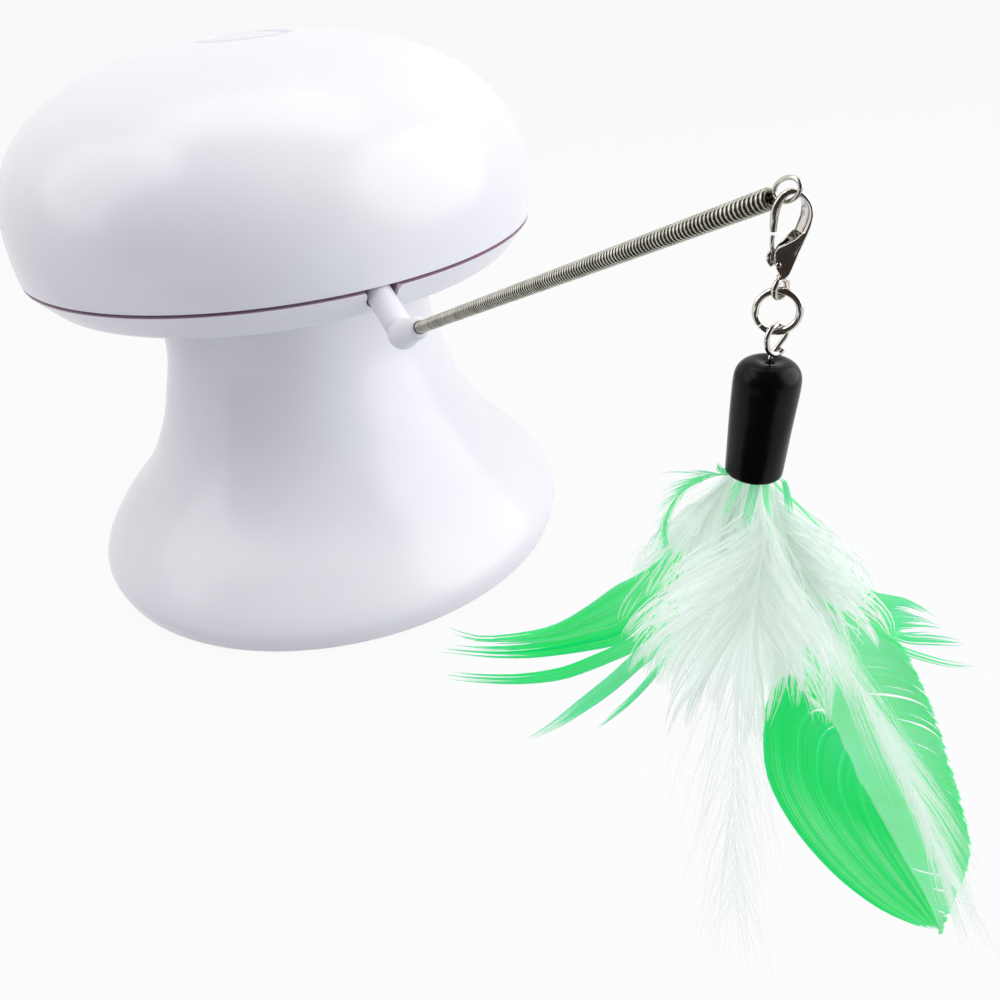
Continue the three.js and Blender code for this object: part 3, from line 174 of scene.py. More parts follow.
class Tree:
    # a node tree, and the calls that add to it
    def __init__(self, tree):
        self.tree = tree

    def set(self, name, value, node):
        socket = node.inputs[name]
        if isinstance(value, Wire):
            self.tree.links.new(value.socket, socket)
        else:
            socket.default_value = value
        return self

    def node(self, kind, settings=None, values=None, output=0):
        made = self.tree.nodes.new(kind)
        for name, value in (settings or {}).items():
            setattr(made, name, value)
        for name, value in (values or {}).items():
            self.set(name, value, made)
        return Wire(self, made.outputs[output])

    def seen(self):
        # 1 for a ray of the camera, or one that metal or glass sends on
        kinds = ("Is Camera Ray", "Is Glossy Ray", "Is Transmission Ray")
        camera, glossy, through = (self.node("ShaderNodeLightPath", output=kind) for kind in kinds)
        return camera.orMore(glossy).orMore(through)

    def blend(self, factor, first, second):
        return self.node("ShaderNodeMixShader", {}, {0: factor, 1: first, 2: second})


class Finish(Tree):
    # one material
    def __init__(self, name, colour, roughness, metallic=0.0, coat=0.0, specular=0.5):
        self.material = bpy.data.materials.new(name)
        self.material.use_nodes = True
        super().__init__(self.material.node_tree)
        self.shader = self.tree.nodes["Principled BSDF"]
        self.set("Base Color", colour)
        self.set("Roughness", roughness)
        self.set("Metallic", metallic)
        self.set("Coat Weight", coat)
        self.set("Specular IOR Level", specular)

    def set(self, name, value, node=None):
        return super().set(name, value, node or self.shader)

    def place(self):
        return self.node("ShaderNodeTexCoord", output="Object")

    def scaled(self, vector, x, y, z):
        return self.node("ShaderNodeVectorMath", {"operation": "MULTIPLY"}, {0: vector, 1: (x, y, z)})

    def parts(self, vector, axis):
        return self.node("ShaderNodeSeparateXYZ", {}, {0: vector}, axis)

    def noise(self, scale, detail=3.0, roughness=0.5, vector=None):
        vector = vector or self.place()
        values = {"Vector": vector, "Scale": scale, "Detail": detail, "Roughness": roughness}
        return self.node("ShaderNodeTexNoise", {}, values)

    def mixed(self, factor, first, second):
        return self.node("ShaderNodeMix", {"data_type": "RGBA"}, {0: factor, 6: first, 7: second}, 2)

    def attribute(self, name):
        return self.node("ShaderNodeAttribute", {"attribute_name": name}, {}, "Fac")

    def bump(self, height, strength, distance):
        bumped = self.node("ShaderNodeBump", {}, {
            "Height": height, "Strength": strength, "Distance": distance,
        })
        return self.set("Normal", bumped)

    def surface(self, wire):
        self.tree.links.new(wire.socket, self.tree.nodes["Material Output"].inputs[0])
        return self

    def letThrough(self, colour, share):
        # thin barbs pass a share of the light on to their other side
        through = self.node("ShaderNodeBsdfTranslucent", {}, {"Color": colour})
        return self.surface(self.blend(share, Wire(self, self.shader.outputs[0]), through))


def makeWorld():
    world = bpy.data.worlds.new("studio")
    bpy.context.scene.world = world
    world.use_nodes = True
    tree = Tree(world.node_tree)
    light = tree.node("ShaderNodeBackground", {}, {"Color": studio["worldTint"], "Strength": studio["world"]})
    paper = tree.node("ShaderNodeBackground", {}, {"Color": (1, 1, 1, 1), "Strength": 1.0})
    both = tree.blend(tree.seen(), light, paper)
    world.node_tree.links.new(both.socket, world.node_tree.nodes["World Output"].inputs[0])


def makeFloor():
    reach, low = studio["floorReach"], -studio["floorDrop"] * mm
    corners = [(x * reach, y * reach, low) for x, y in ((-1, -1), (1, -1), (1, 1), (-1, 1))]
    mesh = meshFrom("floor", corners, [(0, 1, 2, 3)])
    inScene("floor", mesh)
    finish = Finish("paper floor", studio["floorColour"], 0.9, specular=0.1)
    paper = finish.node("ShaderNodeEmission", {}, {"Strength": 1.0})
    matt = Wire(finish, finish.shader.outputs[0])
    finish.surface(finish.blend(finish.seen() * studio["floor"], matt, paper))
    mesh.materials.append(finish.material)


def makeCard(name, place, aim, size):
    # a dark card, which only the glossy pieces show
    x, y = (length * mm / 2 for length in size)
    mesh = meshFrom(name, [(-x, -y, 0), (x, -y, 0), (x, y, 0), (-x, y, 0)], [(0, 1, 2, 3)])
    card = inScene(name, mesh)
    card.matrix_world = aimed(place, aim)
    for ray in ("camera", "diffuse", "transmission", "volume_scatter", "shadow"):
        setattr(card, "visible_" + ray, False)
    mesh.materials.append(Finish(name, studio["cardColour"], 0.9, specular=0.0).material)


def meshFrom(name, verts, faces):
    mesh = bpy.data.meshes.new(name)
    mesh.from_pydata([tuple(v) for v in verts], [], faces)
    mesh.update()
    return mesh


makeCamera()
makeWorld()
makeFloor()
for number, row in enumerate(studio["cards"], 1):
    makeCard(f"dark_card_{number}", *row)
for row in studio["lamps"]:
    makeLamp(*row)
bpy.context.scene.view_settings.view_transform = "Standard"

print("finishes")


seamShade = {  # in metres: where shade is painted into the shell's colour, at the rims of the parting line's gap and on the notch's inside
    "lipsFrom": (0.0979, 0.09803), "lipsTo": (0.0987, 0.09885),
    # the pan's side is a cone, and what lies inside it is the notch's
    "cone": 0.881, "skin": (-0.0166, -0.0158),
    "notchFrom": (0.0905, 0.0915), "notchTo": (0.09785, 0.098),
}


def glossyWhite():
    made = Finish("glossy white shell", linear(243, 242, 246), 0.2, specular=0.5)
    cloud = made.noise(22)
    grain = made.noise(900, 2, 0.6)
    white = made.mixed(cloud.between(0.35, 0.65), linear(241, 240, 244), linear(245, 244, 247))
    across, deep, high = (made.parts(made.place(), k) for k in range(3))
    shadedLips = high.between(*seamShade["lipsFrom"]) * (1 - high.between(*seamShade["lipsTo"]))
    inward = 1 - ((across * across + deep * deep) ** 0.5 - high * seamShade["cone"]).between(*seamShade["skin"])
    shadedHollow = inward * high.between(*seamShade["notchFrom"]) * (1 - high.between(*seamShade["notchTo"]))
    # painted shade: the rims of the parting line's gap and the notch's inside get a purplish grey, as the
    # shade in them looks
    made.set("Base Color", made.mixed(shadedLips.orMore(shadedHollow), white, linear(200, 164, 184)))
    made.set("Roughness", 0.18 + cloud * 0.08)
    return made.bump(made.noise(160, 2) * 0.6 + grain * 0.4, 0.05, 0.0002)


def satinWhite():
    made = Finish("satin white", linear(240, 239, 244), 0.38, specular=0.45)
    cloud = made.noise(60)
    made.set("Base Color", made.mixed(cloud, linear(237, 236, 242), linear(243, 242, 246)))
    made.set("Roughness", 0.32 + cloud * 0.12)
    return made.bump(made.noise(2600, 2, 0.6), 0.1, 0.00005)


def plainMoulding(name, colour, darker, roughness):
    made = Finish(name, colour, roughness)
    cloud = made.noise(90, 4, 0.6)
    made.set("Base Color", made.mixed(cloud.between(0.3, 0.7), darker, colour))
    made.set("Roughness", (roughness - 0.06) + cloud * 0.14)
    return made.bump(made.noise(3000, 3, 0.6), 0.25, 0.00006)


def metal(name, light, dark, roughness, scratches):
    made = Finish(name, light, roughness, metallic=1.0)
    cloud = made.noise(300, 4, 0.6)
    lines = made.noise(2500, 3, 0.7)
    made.set("Base Color", made.mixed(cloud.between(0.35, 0.7), light, dark))
    made.set("Roughness", (roughness - 0.04) + lines * 0.1)
    return made.bump(lines, scratches, 0.00004)


def springWire():
    # the wire's own colour on the outside of each turn, and painted shade, dull and dark, where the turns
    # touch
    made = Finish("drawn spring wire", linear(196, 195, 184), 0.22, metallic=1.0)
    cloud, lines = made.noise(300, 4, 0.6), made.noise(2500, 3, 0.7)
    worn = made.mixed(cloud.between(0.35, 0.7), linear(208, 206, 196), linear(176, 175, 162))
    # painted shade: the colour darkens to a dull olive where the turns touch
    made.set("Base Color", made.mixed(made.attribute("grooveShade"), worn, linear(78, 77, 66)))
    made.set("Roughness", 0.17 + lines * 0.1)
    return made.bump(lines, 0.08, 0.00004)


def printedFilm():
    made = Finish("cell film", linear(40, 96, 128), 0.28, coat=0.4)
    x = made.parts(made.place(), 0)
    band = x.between(0.0119, 0.0123) * (1 - x.between(0.0331, 0.0335))
    made.set("Base Color", made.mixed(band, linear(58, 62, 68), linear(44, 110, 146)))
    return made.bump(made.noise(700, 2), 0.08, 0.00005)


def solderMask():
    made = Finish("solder mask", linear(22, 92, 54), 0.34, coat=0.2)
    values = {"Vector": made.place(), "Scale": 420.0}
    tracks = made.node("ShaderNodeTexVoronoi", {"distance": "CHEBYCHEV"}, values)
    made.set("Base Color", made.mixed(tracks.between(0.3, 0.42), linear(20, 86, 48), linear(34, 116, 66)))
    return made.bump(made.noise(1500, 2), 0.1, 0.00005)


def clearRed():
    made = Finish("clear red lens", linear(128, 8, 18), 0.06, coat=1.0)
    made.set("Base Color", made.mixed(made.noise(300, 2), linear(96, 4, 12), linear(140, 12, 24)))
    return made


def dippedVinyl():
    made = Finish("dipped vinyl", linear(8, 8, 9), 0.25, specular=0.12)
    cloud = made.noise(260, 4, 0.6)
    made.set("Base Color", made.mixed(cloud, linear(5, 5, 6), linear(12, 12, 14)))
    made.set("Roughness", 0.18 + cloud * 0.14)
    # slight runs along the cap from its drawing over the quills
    drawn = made.noise(420, vector=made.scaled(made.place(), 1, 1, 0.12))
    return made.bump(drawn * 0.7 + made.noise(1600, 2, 0.6) * 0.3, 0.25, 0.0001)


def softGrip():
    made = Finish("soft grip pad", linear(70, 71, 75), 0.85)
    dots = made.node("ShaderNodeTexVoronoi", {}, {"Vector": made.place(), "Scale": 900.0})
    made.set("Base Color", made.mixed(made.noise(400), linear(60, 61, 65), linear(82, 83, 88)))
    return made.bump(dots, 0.3, 0.0001)


def featherFinish(name, deep, pale, through, share, paintedGlow):
    # shade comes with the mesh: on the green barbs, how deep the dye lies on each; on the white down it is
    # painted shade, darker at the roots and on plumes further back
    made = Finish(name, pale, 0.6, specular=0.2)
    shade = made.attribute("shade")
    made.set("Base Color", made.mixed(shade, deep, pale))
    made.set("Roughness", 0.52 + shade * 0.15)
    # painted light: the barbs give off light of their own colour, standing in for the light that fine barbs
    # hand on to each other
    made.set("Emission Color", made.mixed(shade, deep, pale))
    made.set("Emission Strength", paintedGlow)
    return made.letThrough(through, share)


finishes = {
    "gloss_white": glossyWhite(),
    "satin_white": satinWhite(),
    "inner_white": plainMoulding("plain white moulding", linear(228, 228, 231), linear(218, 218, 222), 0.55),
    "acetal": plainMoulding("slippery natural moulding", linear(232, 228, 214), linear(222, 217, 202), 0.45),
    "dark_plastic": plainMoulding("dark moulding", linear(46, 47, 51), linear(36, 37, 40), 0.5),
    "pad_rubber": softGrip(),
    "nickel": metal("bright nickel", linear(226, 223, 218), linear(186, 180, 172), 0.1, 0.05),
    "spring_steel": springWire(),
    "zinc_steel": metal("zinc plated steel", linear(188, 190, 194), linear(160, 163, 168), 0.34, 0.2),
    "contact_brass": metal("stamped brass", linear(214, 184, 116), linear(184, 150, 84), 0.3, 0.15),
    "cell_wrap": printedFilm(),
    "board_green": solderMask(),
    "red_lens": clearRed(),
    "black_vinyl": dippedVinyl(),
    # the white down's darker colour is the grey-green of its painted shade
    "white_feather": featherFinish(
        "white down", linear(200, 217, 206), linear(250, 252, 251), linear(248, 252, 249), 0.5, 0.2),
    "green_feather": featherFinish(
        "dyed green barbs", linear(8, 234, 136), linear(196, 240, 216), linear(88, 246, 176), 0.42, 0.24),
}
for subpart in frame["record"]["subparts"]:
    data = nodes[subpart["node"]].data
    data.materials.clear()
    data.materials.append(finishes[subpart["material_slot"]].material)


def addPiece(name, mesh, slot, body=None, stands=(), sharp=None):
    mesh.shade_smooth()
    if sharp is not None:
        mesh.set_sharp_from_angle(angle=sharp * deg)
    piece = inScene(name, mesh)
    mesh.materials.append(finishes[slot].material)
    if stands:
        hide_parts(*stands)
    if body:
        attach(piece, body)
    return piece


def solidFrom(name, verts, faces):
    # a closed mesh, with all its faces looking outward
    mesh = meshFrom(name, verts, faces)
    made = bmesh.new()
    made.from_mesh(mesh)
    bmesh.ops.recalc_face_normals(made, faces=made.faces)
    made.to_mesh(mesh)
    made.free()
    return mesh


def prism(name, verts):
    # the same outline twice, one behind the other
    count = len(verts) // 2
    faces = [tuple(range(count)), tuple(reversed(range(count, 2 * count)))]
    faces += [(k, count + k, count + (k + 1) % count, (k + 1) % count) for k in range(count)]
    return solidFrom(name, verts, faces)


def lathe(name, outline, sides, place=Matrix.Identity(4)):
    # a closed outline of radius and height in millimetres, turned about +Z
    verts, rings = [], []
    for radius, height in outline:
        if radius < 1e-6:
            rings.append([len(verts)])
            verts.append(place @ Vector((0, 0, height * mm)))
            continue
        rings.append(list(range(len(verts), len(verts) + sides)))
        for k in range(sides):
            turn = 2 * math.pi * k / sides
            x, y = radius * mm * math.cos(turn), radius * mm * math.sin(turn)
            verts.append(place @ Vector((x, y, height * mm)))
    faces = []
    for low, high in zip(rings, rings[1:] + rings[:1]):
        if len(low) == 1 and len(high) == 1:
            continue
        for k in range(sides):
            n = (k + 1) % sides
            if len(low) == 1:
                faces.append((low[0], high[n], high[k]))
            elif len(high) == 1:
                faces.append((low[k], low[n], high[0]))
            else:
                faces.append((low[k], low[n], high[n], high[k]))
    return solidFrom(name, verts, faces)


def spline(knots, steps):
    # a smooth line through the knots, each with the same weight
    out = []
    count = len(knots)
    for i in range(steps + 1):
        at = (count - 1) * i / steps
        k = min(int(at), count - 2)
        w = at - k
        p = [np.array(knots[min(max(k + j, 0), count - 1)], float) for j in (-1, 0, 1, 2)]
        v0, v1 = (p[2] - p[0]) * 0.5, (p[3] - p[1]) * 0.5
        cubic, square = 2 * p[1] - 2 * p[2] + v0 + v1, -3 * p[1] + 3 * p[2] - 2 * v0 - v1
        out.append(cubic * w ** 3 + square * w ** 2 + v0 * w + p[1])
    return out


def rounded(outline, radii, steps=5):
    # turns the corners of an open outline into arcs of the given radii, 0 to leave one sharp
    out = []
    for i, (point, radius) in enumerate(zip(outline, radii)):
        point = np.array(point, float)
        if radius == 0 or i in (0, len(outline) - 1):
            out.append(point)
            continue
        back = np.array(outline[i - 1], float) - point
        ahead = np.array(outline[i + 1], float) - point
        lengths = np.linalg.norm(back), np.linalg.norm(ahead)
        back, ahead = back / lengths[0], ahead / lengths[1]
        reach = min(radius, lengths[0] * 0.45, lengths[1] * 0.45)
        for s in range(steps + 1):
            w = s / steps
            out.append(point + back * reach * (1 - w) ** 2 + ahead * reach * w ** 2)
    return out


def tube(name, points, radius, sides, closed=False, first=None):
    # a round bar along points in metres
    points = [Vector(p) for p in points]
    count = len(points)
    tangents = []
    for i in range(count):
        if closed:
            step = points[(i + 1) % count] - points[i - 1]
        else:
            step = points[min(i + 1, count - 1)] - points[max(i - 1, 0)]
        tangents.append(step.normalized())
    across = Vector(first) if first else tangents[0].orthogonal()
    verts = []
    for i in range(count):
        across = (across - tangents[i] * across.dot(tangents[i])).normalized()
        up = tangents[i].cross(across)
        for k in range(sides):
            turn = 2 * math.pi * k / sides
            verts.append(points[i] + (across * math.cos(turn) + up * math.sin(turn)) * radius)
    faces = []
    for i in range(count if closed else count - 1):
        a, b = i * sides, ((i + 1) % count) * sides
        for k in range(sides):
            n = (k + 1) % sides
            faces.append((a + k, a + n, b + n, b + k))
    if not closed:
        faces.append(tuple(reversed(range(sides))))
        faces.append(tuple(range((count - 1) * sides, count * sides)))
    return solidFrom(name, verts, faces)


def applied(whole, name):
    # the mesh that an object's modifiers make of it; the object goes
    bpy.context.view_layer.update()
    result = bpy.data.meshes.new_from_object(whole.evaluated_get(bpy.context.evaluated_depsgraph_get()))
    bpy.data.objects.remove(whole)
    result.name = name
    return result


def cutMesh(mesh, cutter, how="DIFFERENCE"):
    # mesh less, or joined with, another mesh
    whole, tool = inScene("whole", mesh), inScene("tool", cutter)
    step = whole.modifiers.new("cut", "BOOLEAN")
    step.operation = how
    step.solver = "EXACT"
    step.object = tool
    result = applied(whole, mesh.name)
    bpy.data.objects.remove(tool)
    return result


def moved(mesh, matrix):
    mesh.transform(matrix)
    return mesh


def turnTo(direction, place):
    # a frame whose +Z runs along a direction from a place in millimetres
    turn = Vector(direction).normalized().to_track_quat("Z", "Y").to_matrix().to_4x4()
    return moveTo(place) @ turn


print("tower base")

tower = {
    "foot": 73.6, "neck": 39.4, "rim": 0.8, "height": 85.2, "wall": 2.4, "top": 86.0,
    "lip": [(-1.2, 0), (-0.35, 0.12), (0.02, 0.6)],  # out and up from the skin's lowest point
    "crown": [(0, 85.3), (-0.1, 85.75), (-0.5, 86.0)],  # out from the neck's radius, and height
    "flare": [  # rise, and how much of the foot's spread is left there
        (0, 0.953), (0.095, 1), (0.222, 0.798), (0.369, 0.462),
        (0.515, 0.246), (0.662, 0.114), (0.809, 0.02), (1, 0)],
}


def towerSkin(inset, steps):
    neck, low = tower["neck"], tower["rim"]
    flare = tower["foot"] - neck
    knots = [(neck + flare * share - inset, low + tower["height"] * rise) for rise, share in tower["flare"]]
    return spline(knots, steps)


def makeTower():
    outer = towerSkin(0, 72)
    inner = towerSkin(tower["wall"], 48)
    x, z = outer[0]
    lip = [(x + out, z + up) for out, up in tower["lip"]]
    crown = [(tower["neck"] + out, height) for out, height in tower["crown"]]
    outline = [inner[0], *lip, *outer[2:-1], *crown, (inner[-1][0], tower["top"]), *reversed(inner[1:-1])]
    mesh = lathe("tower shell", outline, 224)
    addPiece("tower_shell", mesh, "gloss_white", "base", ["base_shell"], sharp=40)


makeTower()

print("turning head")

head = {
    "radius": 72.2, "rim": 98.8, "centre": 107.0, "top": 150.0, "power": 2.4, "wall": 2.2, "inner": 69.6,
    "edge": 71.8, "edgeUp": 0.5, "swell": 0.4,  # the side swells from the edge's radius to the full one
    "lip": [(71.45, 0.02), (71.72, 0.15)],  # radius, and how far above the rim
    "hole": [(0.45, -0.02), (0.12, -0.12), (0, -0.45)],  # out from the button's hole, and up from the top
    "crownFrom": 0.6, "innerFrom": 0.3,
    "button": 12.2, "window": 5.2, "windowFrom": 60, "windowTo": 80,
}


def domeSkin(inset, steps):
    reach, top = head["radius"] - inset, head["top"] - inset
    rise = top - head["centre"]
    points = []
    for i in range(steps + 1):
        slope = math.pi / 2 * i / steps
        across, up = math.cos(slope) ** (2 / head["power"]), math.sin(slope) ** (2 / head["power"])
        points.append((reach * across, head["centre"] + rise * up))
    return points


def makeDome():
    rim, centre, hole = head["rim"], head["centre"], head["button"]
    edge, up, swell, wide = head["edge"], head["edgeUp"], head["swell"], head["inner"]
    side = [(radius, rim + above) for radius, above in head["lip"]] + [(edge, rim + up)]
    rise = centre - rim - up
    side += [(edge + swell * math.sin(math.pi / 2 * k / 6), rim + up + rise * k / 6) for k in range(1, 6)]
    crown = [p for p in domeSkin(0, 64) if p[0] > hole + head["crownFrom"]]
    lip = [(hole + out, head["top"] + above) for out, above in head["hole"]]
    inner = [p for p in domeSkin(head["wall"], 40) if p[0] > hole + head["innerFrom"]]
    ceiling = head["top"] - head["wall"]
    outline = [(wide, rim), *side, *crown, *lip, (hole, ceiling), *reversed(inner), (wide, centre)]
    mesh = lathe("dome", outline, 224)
    front = turnTo((-1, 0, 0), (0, 0, head["centre"]))
    low, high = head["windowFrom"], head["windowTo"]
    bore = lathe("bore", [(0, low), (head["window"], low), (head["window"], high), (0, high)], 64, front)
    addPiece("dome_cover", cutMesh(mesh, bore), "gloss_white", "head", ["head_dome"], sharp=38)


pan = {
    "bottom": 89.6, "inside": 91.8, "rim": 98.0, "rimRadius": 71.8, "wall": 2.2,
    "skirtInner": 40.3, "skirtOuter": 42.5, "skirtBottom": 86.0, "lipTop": 100.6,
}
notch = {
    "half": 4.1, "aside": 0.35, "corner": 1.7, "cornerAt": -1.37,
    "deep": -16.7, "pocketEnd": -9.0, "wall": 1.6, "top": -13.0,
}


def makePan():
    bottom, inside, rim, reach = (pan[k] for k in ("bottom", "inside", "rim", "rimRadius"))
    outline = [  # radius, height, and how far the corner is rounded
        (pan["skirtInner"], 90.0, 0), (pan["skirtInner"], pan["skirtBottom"], 0.5),
        (pan["skirtOuter"], pan["skirtBottom"], 0.6), (pan["skirtOuter"], bottom, 1.4),
        (57.9, bottom, 6), (63.9, 90.17, 2.2), (65.9, 91.3, 1.2), (reach, rim, 0.55),
        (reach - pan["wall"], rim, 0), (69.2, rim + 0.01, 0), (69.2, pan["lipTop"], 0.2),
        (68.4, pan["lipTop"], 0.2), (68.4, 97.0, 0),
        (63.7, inside, 2), (9.8, inside, 0), (9.8, bottom, 0), (pan["skirtInner"] - 0.5, bottom, 0),
        (pan["skirtInner"], 90.0, 0),
    ]
    points = rounded([row[:2] for row in outline], [row[2] for row in outline])
    mesh = lathe("pan", points[:-1], 224)
    # the arm's notch runs into a pocket inside, so that no dark gap shows beside the barrel
    half, deep, thick = notch["half"], notch["deep"], notch["wall"]
    pocket = notchBar("pocket", half + thick, deep - thick, notch["pocketEnd"], False)
    room = lathe("room", [(0, 90.6), (63.2, 90.7), (65.2, 91.8), (70.7, 97.9), (0, 97.9)], 224)
    mesh = cutMesh(mesh, cutMesh(pocket, room, "INTERSECT"), "UNION")
    mesh = cutMesh(mesh, notchBar("slot", half, deep, 0.0, True))
    addPiece("pan_cover", mesh, "gloss_white", "head", ["head_pan"], sharp=38)


def notchBar(name, half, near, far, flared):
    # a bar along the arm's line, round at the foot and open at the top, where its corners may flare
    line = [(notch["top"], half)]
    if flared:
        corner, x = notch["corner"], notch["cornerAt"]
        line = [(notch["top"], half + corner)]
        turns = np.linspace(0, math.pi / 2, 7)
        line += [(x - corner * math.cos(a), half + corner * (1 - math.sin(a))) for a in turns]
    side = list(line)
    line += [(half * math.cos(a), half * math.sin(a)) for a in np.linspace(math.pi / 2, -math.pi / 2, 25)]
    line += [(x, -y) for x, y in reversed(side)]
    verts = [(x * mm, (y + notch["aside"]) * mm, z * mm) for z in (near, far) for x, y in line]
    return moved(prism(name, verts), armFrame())


arm = {
    "place": (80.2, 0, 89.6), "dip": 30.0, "rise": 23.1,
    "barrel": 3.25, "barrelEnd": -16.2, "tenon": 2.4, "tenonEnd": -23.3, "ease": 0.3,
    "cup": 3.95, "cupFrom": 3.0, "cupTo": 1.5, "cupFloor": -1.9,
    "ball": 3.7, "cone": [(3.12, 2.9), (2.9, 5.0), (2.66, 7.8), (2.47, 10.3), (2.36, 10.7), (2.1, 10.9)],
    "bore": 1.45, "boreEnd": 7.4, "mouth": 10.9, "pin": 1.6,
}


def armFrame():
    # +Z runs from the head out to the elbow, down at the arm's dip
    return moveTo(arm["place"]) @ turnBy(90 + arm["dip"], "Y")


def springFrame():
    return moveTo(arm["place"]) @ turnBy(90 - arm["rise"], "Y")


makeDome()
makePan()

print("button and elbow")

button = {
    "radius": 12.0, "flange": 13.6, "stem": 2.0, "stemEnd": 141.1, "flangeLow": 146.2, "flangeHigh": 147.6,
    "edge": 148.9, "edgeIn": 0.5, "edgeUp": 0.42, "top": 149.34, "crown": 1.2,
}


def makeButton():
    reach, flange, stem, foot = (button[k] for k in ("radius", "flange", "stem", "stemEnd"))
    low, high, inward, up = (button[k] for k in ("flangeLow", "flangeHigh", "edgeIn", "edgeUp"))
    side = [(stem, foot), (stem, low), (flange, low), (flange, high), (reach, high)]
    turns = np.linspace(0, math.pi / 2, 6)
    edge = [(reach - inward * (1 - math.cos(a)), button["edge"] + up * math.sin(a)) for a in turns]
    shares = [1 - k / 12 for k in range(13)]
    top = [((reach - 0.6) * share, button["top"] + button["crown"] * (1 - share ** 2)) for share in shares]
    mesh = lathe("button", [(0, foot), *side, *edge, *top], 96)
    addPiece("button_cap", mesh, "satin_white", "button", ["mode_button"], sharp=40)


def makeArmRoot():
    # barrel with a cup for the ball, the pin in it and the tenon that the pan's socket holds
    reach, end, tenon, last, cup = (arm[k] for k in ("barrel", "barrelEnd", "tenon", "tenonEnd", "cup"))
    ease, wide, narrow, low = (arm[k] for k in ("ease", "cupFrom", "cupTo", "cupFloor"))
    outline = [
        (0, last), (tenon - ease, last), (tenon, last + ease), (tenon, end),
        (reach - ease, end), (reach, end + ease),
        (reach, -2.35), (reach - 0.05, -2.1), (reach - 0.2, -1.95),
    ]
    start, stop = math.asin(wide / cup), math.asin(narrow / cup)
    outline += [(cup * math.sin(a), -cup * math.cos(a)) for a in np.linspace(start, stop, 10)]
    outline += [(narrow, low), (0, low)]
    mesh = lathe("root", outline, 72, armFrame())
    addPiece("arm_barrel", mesh, "satin_white", "head", ["arm_root"], sharp=45)


def makeElbow():
    # the ball runs out into the cone without a crease, and the spring fills the cone's bore
    ball, bore, mouth, deep = (arm[k] for k in ("ball", "bore", "mouth", "boreEnd"))
    outline = [(0.0, -ball)]
    outline += [(ball * math.sin(a), -ball * math.cos(a)) for a in np.linspace(0.12, 1.95, 22)]
    outline += arm["cone"] + [(bore + 0.12, mouth), (bore, mouth - 0.15), (bore, deep), (0, deep)]
    mesh = lathe("elbow", outline, 72, springFrame())
    hole = lathe("hole", [(0, -9), (arm["pin"], -9), (arm["pin"], -1.7), (0, -1.7)], 40, armFrame())
    addPiece("elbow_ball", cutMesh(mesh, hole), "satin_white", "elbow", ["elbow"], sharp=45)


makeButton()
makeArmRoot()
makeElbow()

print("spring")

coil = {
    "start": 7.6, "end": 124.9, "radius": 1.03, "wire": 0.72, "turns": 146, "steps": 16, "sides": 8,
    "split": 68.0, "nearBend": (16, 66), "farBend": (70, 110),
}


def inMetres(points):
    return [Vector(p) * mm for p in points]


def along(s):
    return springFrame() @ Vector((0, 0, s * mm))


def coilPoints(low, high):
    pitch = (coil["end"] - coil["start"]) / coil["turns"]
    count = round((high - low) / pitch * coil["steps"])
    place, reach = springFrame(), coil["radius"] * mm
    points = []
    for i in range(count + 1):
        s = low + (high - low) * i / count
        turn = 2 * math.pi * (s - coil["start"]) / pitch
        points.append(place @ Vector((reach * math.cos(turn), reach * math.sin(turn), s * mm)))
    return points


def makeSpring():
    # two lengths of one close-wound wire
    for name, low, high, first, second, bend in (
        ("spring_near", coil["start"], coil["split"], "elbow", "spring", coil["nearBend"]),
        ("spring_far", coil["split"], coil["end"], "spring", "eye", coil["farBend"]),
    ):
        mesh = tube(name, coilPoints(low, high), coil["wire"] / 2 * mm, coil["sides"])
        # painted shade: 1 where the turns touch, and 0 on the outside of each
        inward = springFrame().inverted()
        outer = [(inward @ v.co).xy.length / mm - coil["radius"] for v in mesh.vertices]
        grooveShade = mesh.attributes.new("grooveShade", "FLOAT", "POINT")
        grooveShade.data.foreach_set("value", [1 - (max(out, 0) / coil["wire"] * 2) ** 2 for out in outer])
        piece = addPiece(name, mesh, "spring_steel", stands=["spring"])
        along(bend[0])
        along(bend[1])
        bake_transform(piece)


makeSpring()

eye = {"top": 129.85, "long": 2.08, "high": 1.26, "lift": 0.28, "wire": 0.58, "stem": 3.2}


def makeEye():
    # the last turn's wire runs out straight and is bent round into the end loop
    centre, place = eye["top"] - eye["long"], springFrame()
    turns = np.linspace(0, 2 * math.pi, 44, endpoint=False)
    ring = [(eye["high"] * math.cos(a) - eye["lift"], 0, centre + eye["long"] * math.sin(a)) for a in turns]
    ring = [place @ point for point in inMetres(ring)]
    thick = eye["wire"] / 2 * mm
    mesh = tube("end loop", ring, thick, 12, closed=True, first=(0, 1, 0))
    low = centre - eye["long"]
    stem = tube("stem", [along(low - eye["stem"]), along(low + 0.2)], thick, 12)
    addPiece("spring_loop", cutMesh(mesh, stem, "UNION"), "spring_steel", "eye", ["spring_eye"], sharp=50)


makeEye()

print("clasp, ring and cap")

hang = {"place": (198.3051, 0, 139.9761), "turn": 44.5, "lean": 2.9, "ring": -14.0, "capLean": 1.8}


def hangFrame():
    turn = turnBy(hang["turn"], "Z") @ turnBy(hang["lean"], "Y")
    return moveTo(hang["place"]) @ turn


def bundleFrame():
    drop = Matrix.Translation((0, 0, hang["ring"] * mm))
    return hangFrame() @ drop @ turnBy(hang["capLean"], "Y") @ drop.inverted()


def joined(name, meshes):
    made = bmesh.new()
    for mesh in meshes:
        made.from_mesh(mesh)
    out = bpy.data.meshes.new(name)
    made.to_mesh(out)
    made.free()
    return out


def castTogether(name, meshes, voxel, rounds):
    # overlapping bars melted into one casting, with its corners eased
    whole = inScene("casting", joined(name, meshes))
    melt = whole.modifiers.new("melt", "REMESH")
    melt.mode = "VOXEL"
    melt.voxel_size = voxel * mm
    ease = whole.modifiers.new("ease", "SMOOTH")
    ease.iterations = rounds
    ease.factor = 0.5
    return applied(whole, name)


